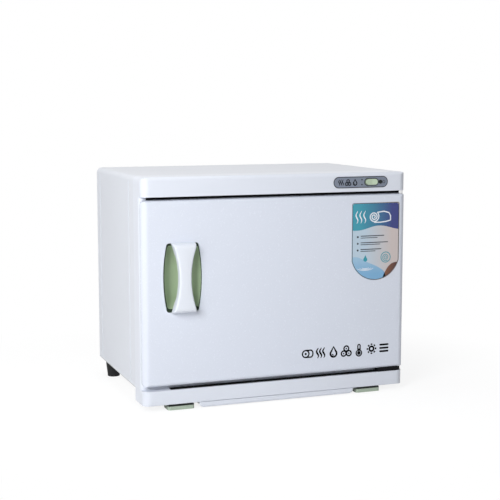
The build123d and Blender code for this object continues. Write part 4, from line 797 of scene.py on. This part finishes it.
def add_strap(materials):
    """Smooth strap with a narrow waist, whose ends round down to the door's face."""
    low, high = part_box("handle_strap")
    middle = ((low[0] + high[0]) / 2 / MM, (low[2] + high[2]) / 2 / MM)
    front, seat = low[1] / MM, high[1] / MM
    bm = bmesh.new()
    rings = []
    rows, corner_steps = 56, 5
    for row in range(rows + 1):
        z = STRAP_HALF_LENGTH * sin(pi * (row / rows - 0.5))
        wide = STRAP_WAIST + (STRAP_END - STRAP_WAIST) * (z / STRAP_HALF_LENGTH) ** 2
        along = max((abs(z) - STRAP_HALF_LENGTH + STRAP_END_ROUND) / STRAP_END_ROUND, 0)
        face_y = seat - STRAP_TIP - (seat - front - STRAP_TIP) * max(1 - along ** 2, 0) ** 0.5
        foot = min(max((abs(z) - STRAP_FOOT[0]) / (STRAP_FOOT[1] - STRAP_FOOT[0]), 0), 1)
        back_y = seat - STRAP_FINGER_GAP * (1 - foot * foot * (3 - 2 * foot))
        back_y = max(back_y, face_y + STRAP_TIP)
        ring = []
        for side_x, edge_y, into, start in ((-1, face_y, 1, 180), (1, face_y, 1, 270), (1, back_y, -1, 0),
                                            (-1, back_y, -1, 90)):
            size = min(STRAP_FRONT_EDGE if into > 0 else STRAP_BACK_EDGE, 0.45 * (back_y - face_y))
            for step in range(corner_steps + 1):
                angle = radians(start + 90 * step / corner_steps)
                ring.append(bm.verts.new(((middle[0] + side_x * (wide - size) + size * cos(angle)) * MM,
                                          (edge_y + into * size + size * sin(angle)) * MM,
                                          (middle[1] + z) * MM)))
        rings.append(ring)
    for first, second in zip(rings, rings[1:]):
        bridge(bm, first, second)
    bm.faces.new(rings[0])
    bm.faces.new(rings[-1])
    piece = add_piece("handle_strap_smooth", bm, "door", "strap_white", materials, smooth=True)
    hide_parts("handle_strap")


def add_head_shade(materials):
    """Thin dark strip of painted shade on the frame's face behind the gap over the door."""
    door_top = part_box("door_shell")[1][2] / MM
    face = FRONT_FACE + FRAME_DEPTH * MM
    sheet = Print(face, HEAD_SHADE_THICKNESS * MM)
    left, right = HEAD_SHADE_X
    low, high = door_top + HEAD_SHADE_MARGIN, FASCIA_BOTTOM - HEAD_SHADE_MARGIN
    sheet.area([(left, low), (right, low), (right, high), (left, high)])
    add_piece("head_painted_shade", sheet.bm, "cabinet", "channel_black", materials)


# Screws
def islands(name):
    """Lowest and highest corners of each separate solid of a CAD node, in the order of their places."""
    bm = bmesh.new()
    bm.from_mesh(nodes[name].data)
    bmesh.ops.remove_doubles(bm, verts=bm.verts, dist=WELD)
    waiting = set(bm.verts)
    boxes = []
    while waiting:
        group = [waiting.pop()]
        for vertex in group:
            for edge in vertex.link_edges:
                other = edge.other_vert(vertex)
                if other in waiting:
                    waiting.remove(other)
                    group.append(other)
        boxes.append(tuple(Vector([pick(corner.co[axis] for corner in group) for axis in range(3)])
                           for pick in (min, max)))
    bm.free()
    # A set of vertices has no fixed order, so the solids are sorted to be the same in every run
    return sorted(boxes, key=lambda box: tuple(round(value, 4) for value in box[0]))


def turned(bm, profile, sides=24, wobble=None):
    """Solid of revolution about Z through (radius, height) pairs. A pair on the axis closes its end.

    wobble(step, radius) is the share of the radius at a step of the way round.
    """
    rings = []
    for radius, height in profile:
        if radius == 0:
            rings.append([bm.verts.new((0, 0, height))])
            continue
        ring = []
        for step in range(sides):
            reach = radius * (wobble(step, radius) if wobble else 1)
            angle = 2 * pi * step / sides
            ring.append(bm.verts.new((reach * cos(angle), reach * sin(angle), height)))
        rings.append(ring)
    for first, second in zip(rings, rings[1:]):
        for step in range(sides):
            after = (step + 1) % sides
            corners = [first[step % len(first)], first[after % len(first)],
                       second[after % len(second)], second[step % len(second)]]
            bm.faces.new(list(dict.fromkeys(corners)))


def cross_screw(head_radius, head_height, shank_radius, length, flat):
    """Screw with a cross recess, its seat at zero, its head up and its shank down."""
    # A flat head keeps its height to the rim and narrows under it, and another one is domed
    top = head_height if flat else 0.72 * head_height
    rim = 0.98 * top if flat else 0.45 * head_height
    foot_radius = 1.06 * shank_radius if flat else head_radius
    profile = [(0, head_height), (0.35 * head_radius, head_height),
               (0.7 * head_radius, 0.5 * (top + head_height)), (head_radius, rim), (foot_radius, 0),
               (shank_radius, 0), (shank_radius, -0.8 * length), (0.35 * shank_radius, -length), (0, -length)]
    body = bmesh.new()
    turned(body, profile)
    bmesh.ops.recalc_face_normals(body, faces=body.faces)
    # The recess narrows from its mouth to its floor
    cutter = bmesh.new()
    wide, narrow = 0.62 * head_radius, 0.17 * head_radius
    depth = 0.62 * head_height
    outline = []
    for turn in range(4):
        for point in ((narrow, -narrow), (wide, -narrow), (wide, narrow)):
            angle = pi / 2 * turn
            outline.append((point[0] * cos(angle) - point[1] * sin(angle),
                            point[0] * sin(angle) + point[1] * cos(angle)))
    upper = [cutter.verts.new((x, y, 2 * head_height)) for x, y in outline]
    lower = [cutter.verts.new((0.75 * x, 0.75 * y, head_height - depth)) for x, y in outline]
    prism(cutter, upper, lower)
    bmesh.ops.recalc_face_normals(cutter, faces=cutter.faces)
    shapes = []
    for name, bm in (("screw_body", body), ("screw_cutter", cutter)):
        mesh = bpy.data.meshes.new(name)
        bm.to_mesh(mesh)
        bm.free()
        shape = bpy.data.objects.new(name, mesh)
        scene.collection.objects.link(shape)
        shapes.append(shape)
    cut = shapes[0].modifiers.new("recess", "BOOLEAN")
    cut.operation = "DIFFERENCE"
    cut.solver = "EXACT"
    cut.object = shapes[1]
    graph = bpy.context.evaluated_depsgraph_get()
    result = bpy.data.meshes.new_from_object(shapes[0].evaluated_get(graph))
    for shape in shapes:
        mesh = shape.data
        bpy.data.objects.remove(shape)
        bpy.data.meshes.remove(mesh)
    return result


def add_screws(node, body, axis, head_radius, head_height, shank_radius, flat, materials):
    """Screws in the places of a CAD node's solids, with their heads towards an axis direction."""
    head_radius, head_height, shank_radius = head_radius * MM, head_height * MM, shank_radius * MM
    axis = Vector(axis)
    across = max(range(3), key=lambda a: abs(axis[a]))
    turn_to = Vector((0, 0, 1)).rotation_difference(axis).to_matrix().to_4x4()
    bm = bmesh.new()
    for index, (low, high) in enumerate(islands(node)):
        length = (high[across] - low[across]) - head_height
        shape = cross_screw(head_radius, head_height, shank_radius, length, flat)
        seat = (low + high) / 2
        seat[across] = (high[across] - head_height) if axis[across] > 0 else (low[across] + head_height)
        twist = Matrix.Rotation(SCREW_TURN_STEP * index + SCREW_TURN_FIRST, 4, "Z")
        shape.transform(Matrix.Translation(seat) @ turn_to @ twist)
        bm.from_mesh(shape)
        bpy.data.meshes.remove(shape)
    piece = add_piece(node + "_cross", bm, body, slots[node], materials, smooth=True)
    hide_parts(node)


def add_gland(materials):
    """Cord gland with a ribbed dome nut outside and its thread inside."""
    low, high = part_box("cord_gland")
    length = high[1] - low[1]
    proud = GLAND_PROUD * MM + PANEL_THICKNESS * MM
    bore, thread, flange = GLAND_BORE * MM, GLAND_THREAD * MM, GLAND_FLANGE * MM
    inner = proud - length
    # Heights go from the dome's top at proud, over the panel's inner face at 0, to the thread's end at inner
    profile = [(bore, proud), (5 * MM, proud), (5.6 * MM, proud - 0.3 * MM), (7.6 * MM, proud - 1.2 * MM),
               (9.6 * MM, proud - 2.6 * MM), (flange, proud - 3.2 * MM), (flange, 0), (thread, 0)]
    for step in range(THREAD_TURNS + 1):
        height = inner * step / THREAD_TURNS
        profile += [(thread, height), (thread - THREAD_DEPTH * MM, height + inner / THREAD_TURNS / 2)]
    profile = [pair for pair in profile if pair[1] >= inner] + [(thread, inner), (bore, inner), (bore, proud)]
    bm = bmesh.new()

    def ribs(step, radius):
        return GLAND_RIB_SHARE if step % 4 < 2 and radius > GLAND_RIBBED_PAST * MM else 1

    turned(bm, profile, sides=64, wobble=ribs)
    bmesh.ops.remove_doubles(bm, verts=bm.verts, dist=WELD)
    seat = Vector(((low[0] + high[0]) / 2, high[1] - proud, (low[2] + high[2]) / 2))
    turn_to = Vector((0, 0, 1)).rotation_difference(Vector((0, 1, 0))).to_matrix().to_4x4()
    bm.transform(Matrix.Translation(seat) @ turn_to)
    piece = add_piece("cord_gland_ribbed", bm, "cabinet", "gland_black", materials, smooth=True)
    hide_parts("cord_gland")


add_camera()
add_world()
add_floor()
for lamp_name, lamp in LAMPS.items():
    add_light(lamp_name, **lamp)
materials = {name: surface(name, **finish) for name, finish in {**FINISHES, **PRINTS}.items()}
dress_nodes(materials)

door_pictograms(materials)
door_label_prints(materials)
plate_details(materials)
add_cup(materials)
add_strap(materials)
add_head_shade(materials)
for screw_node, screw in SCREWS.items():
    add_screws(screw_node, *screw, materials)
add_gland(materials)

scene.view_settings.view_transform = "Standard"
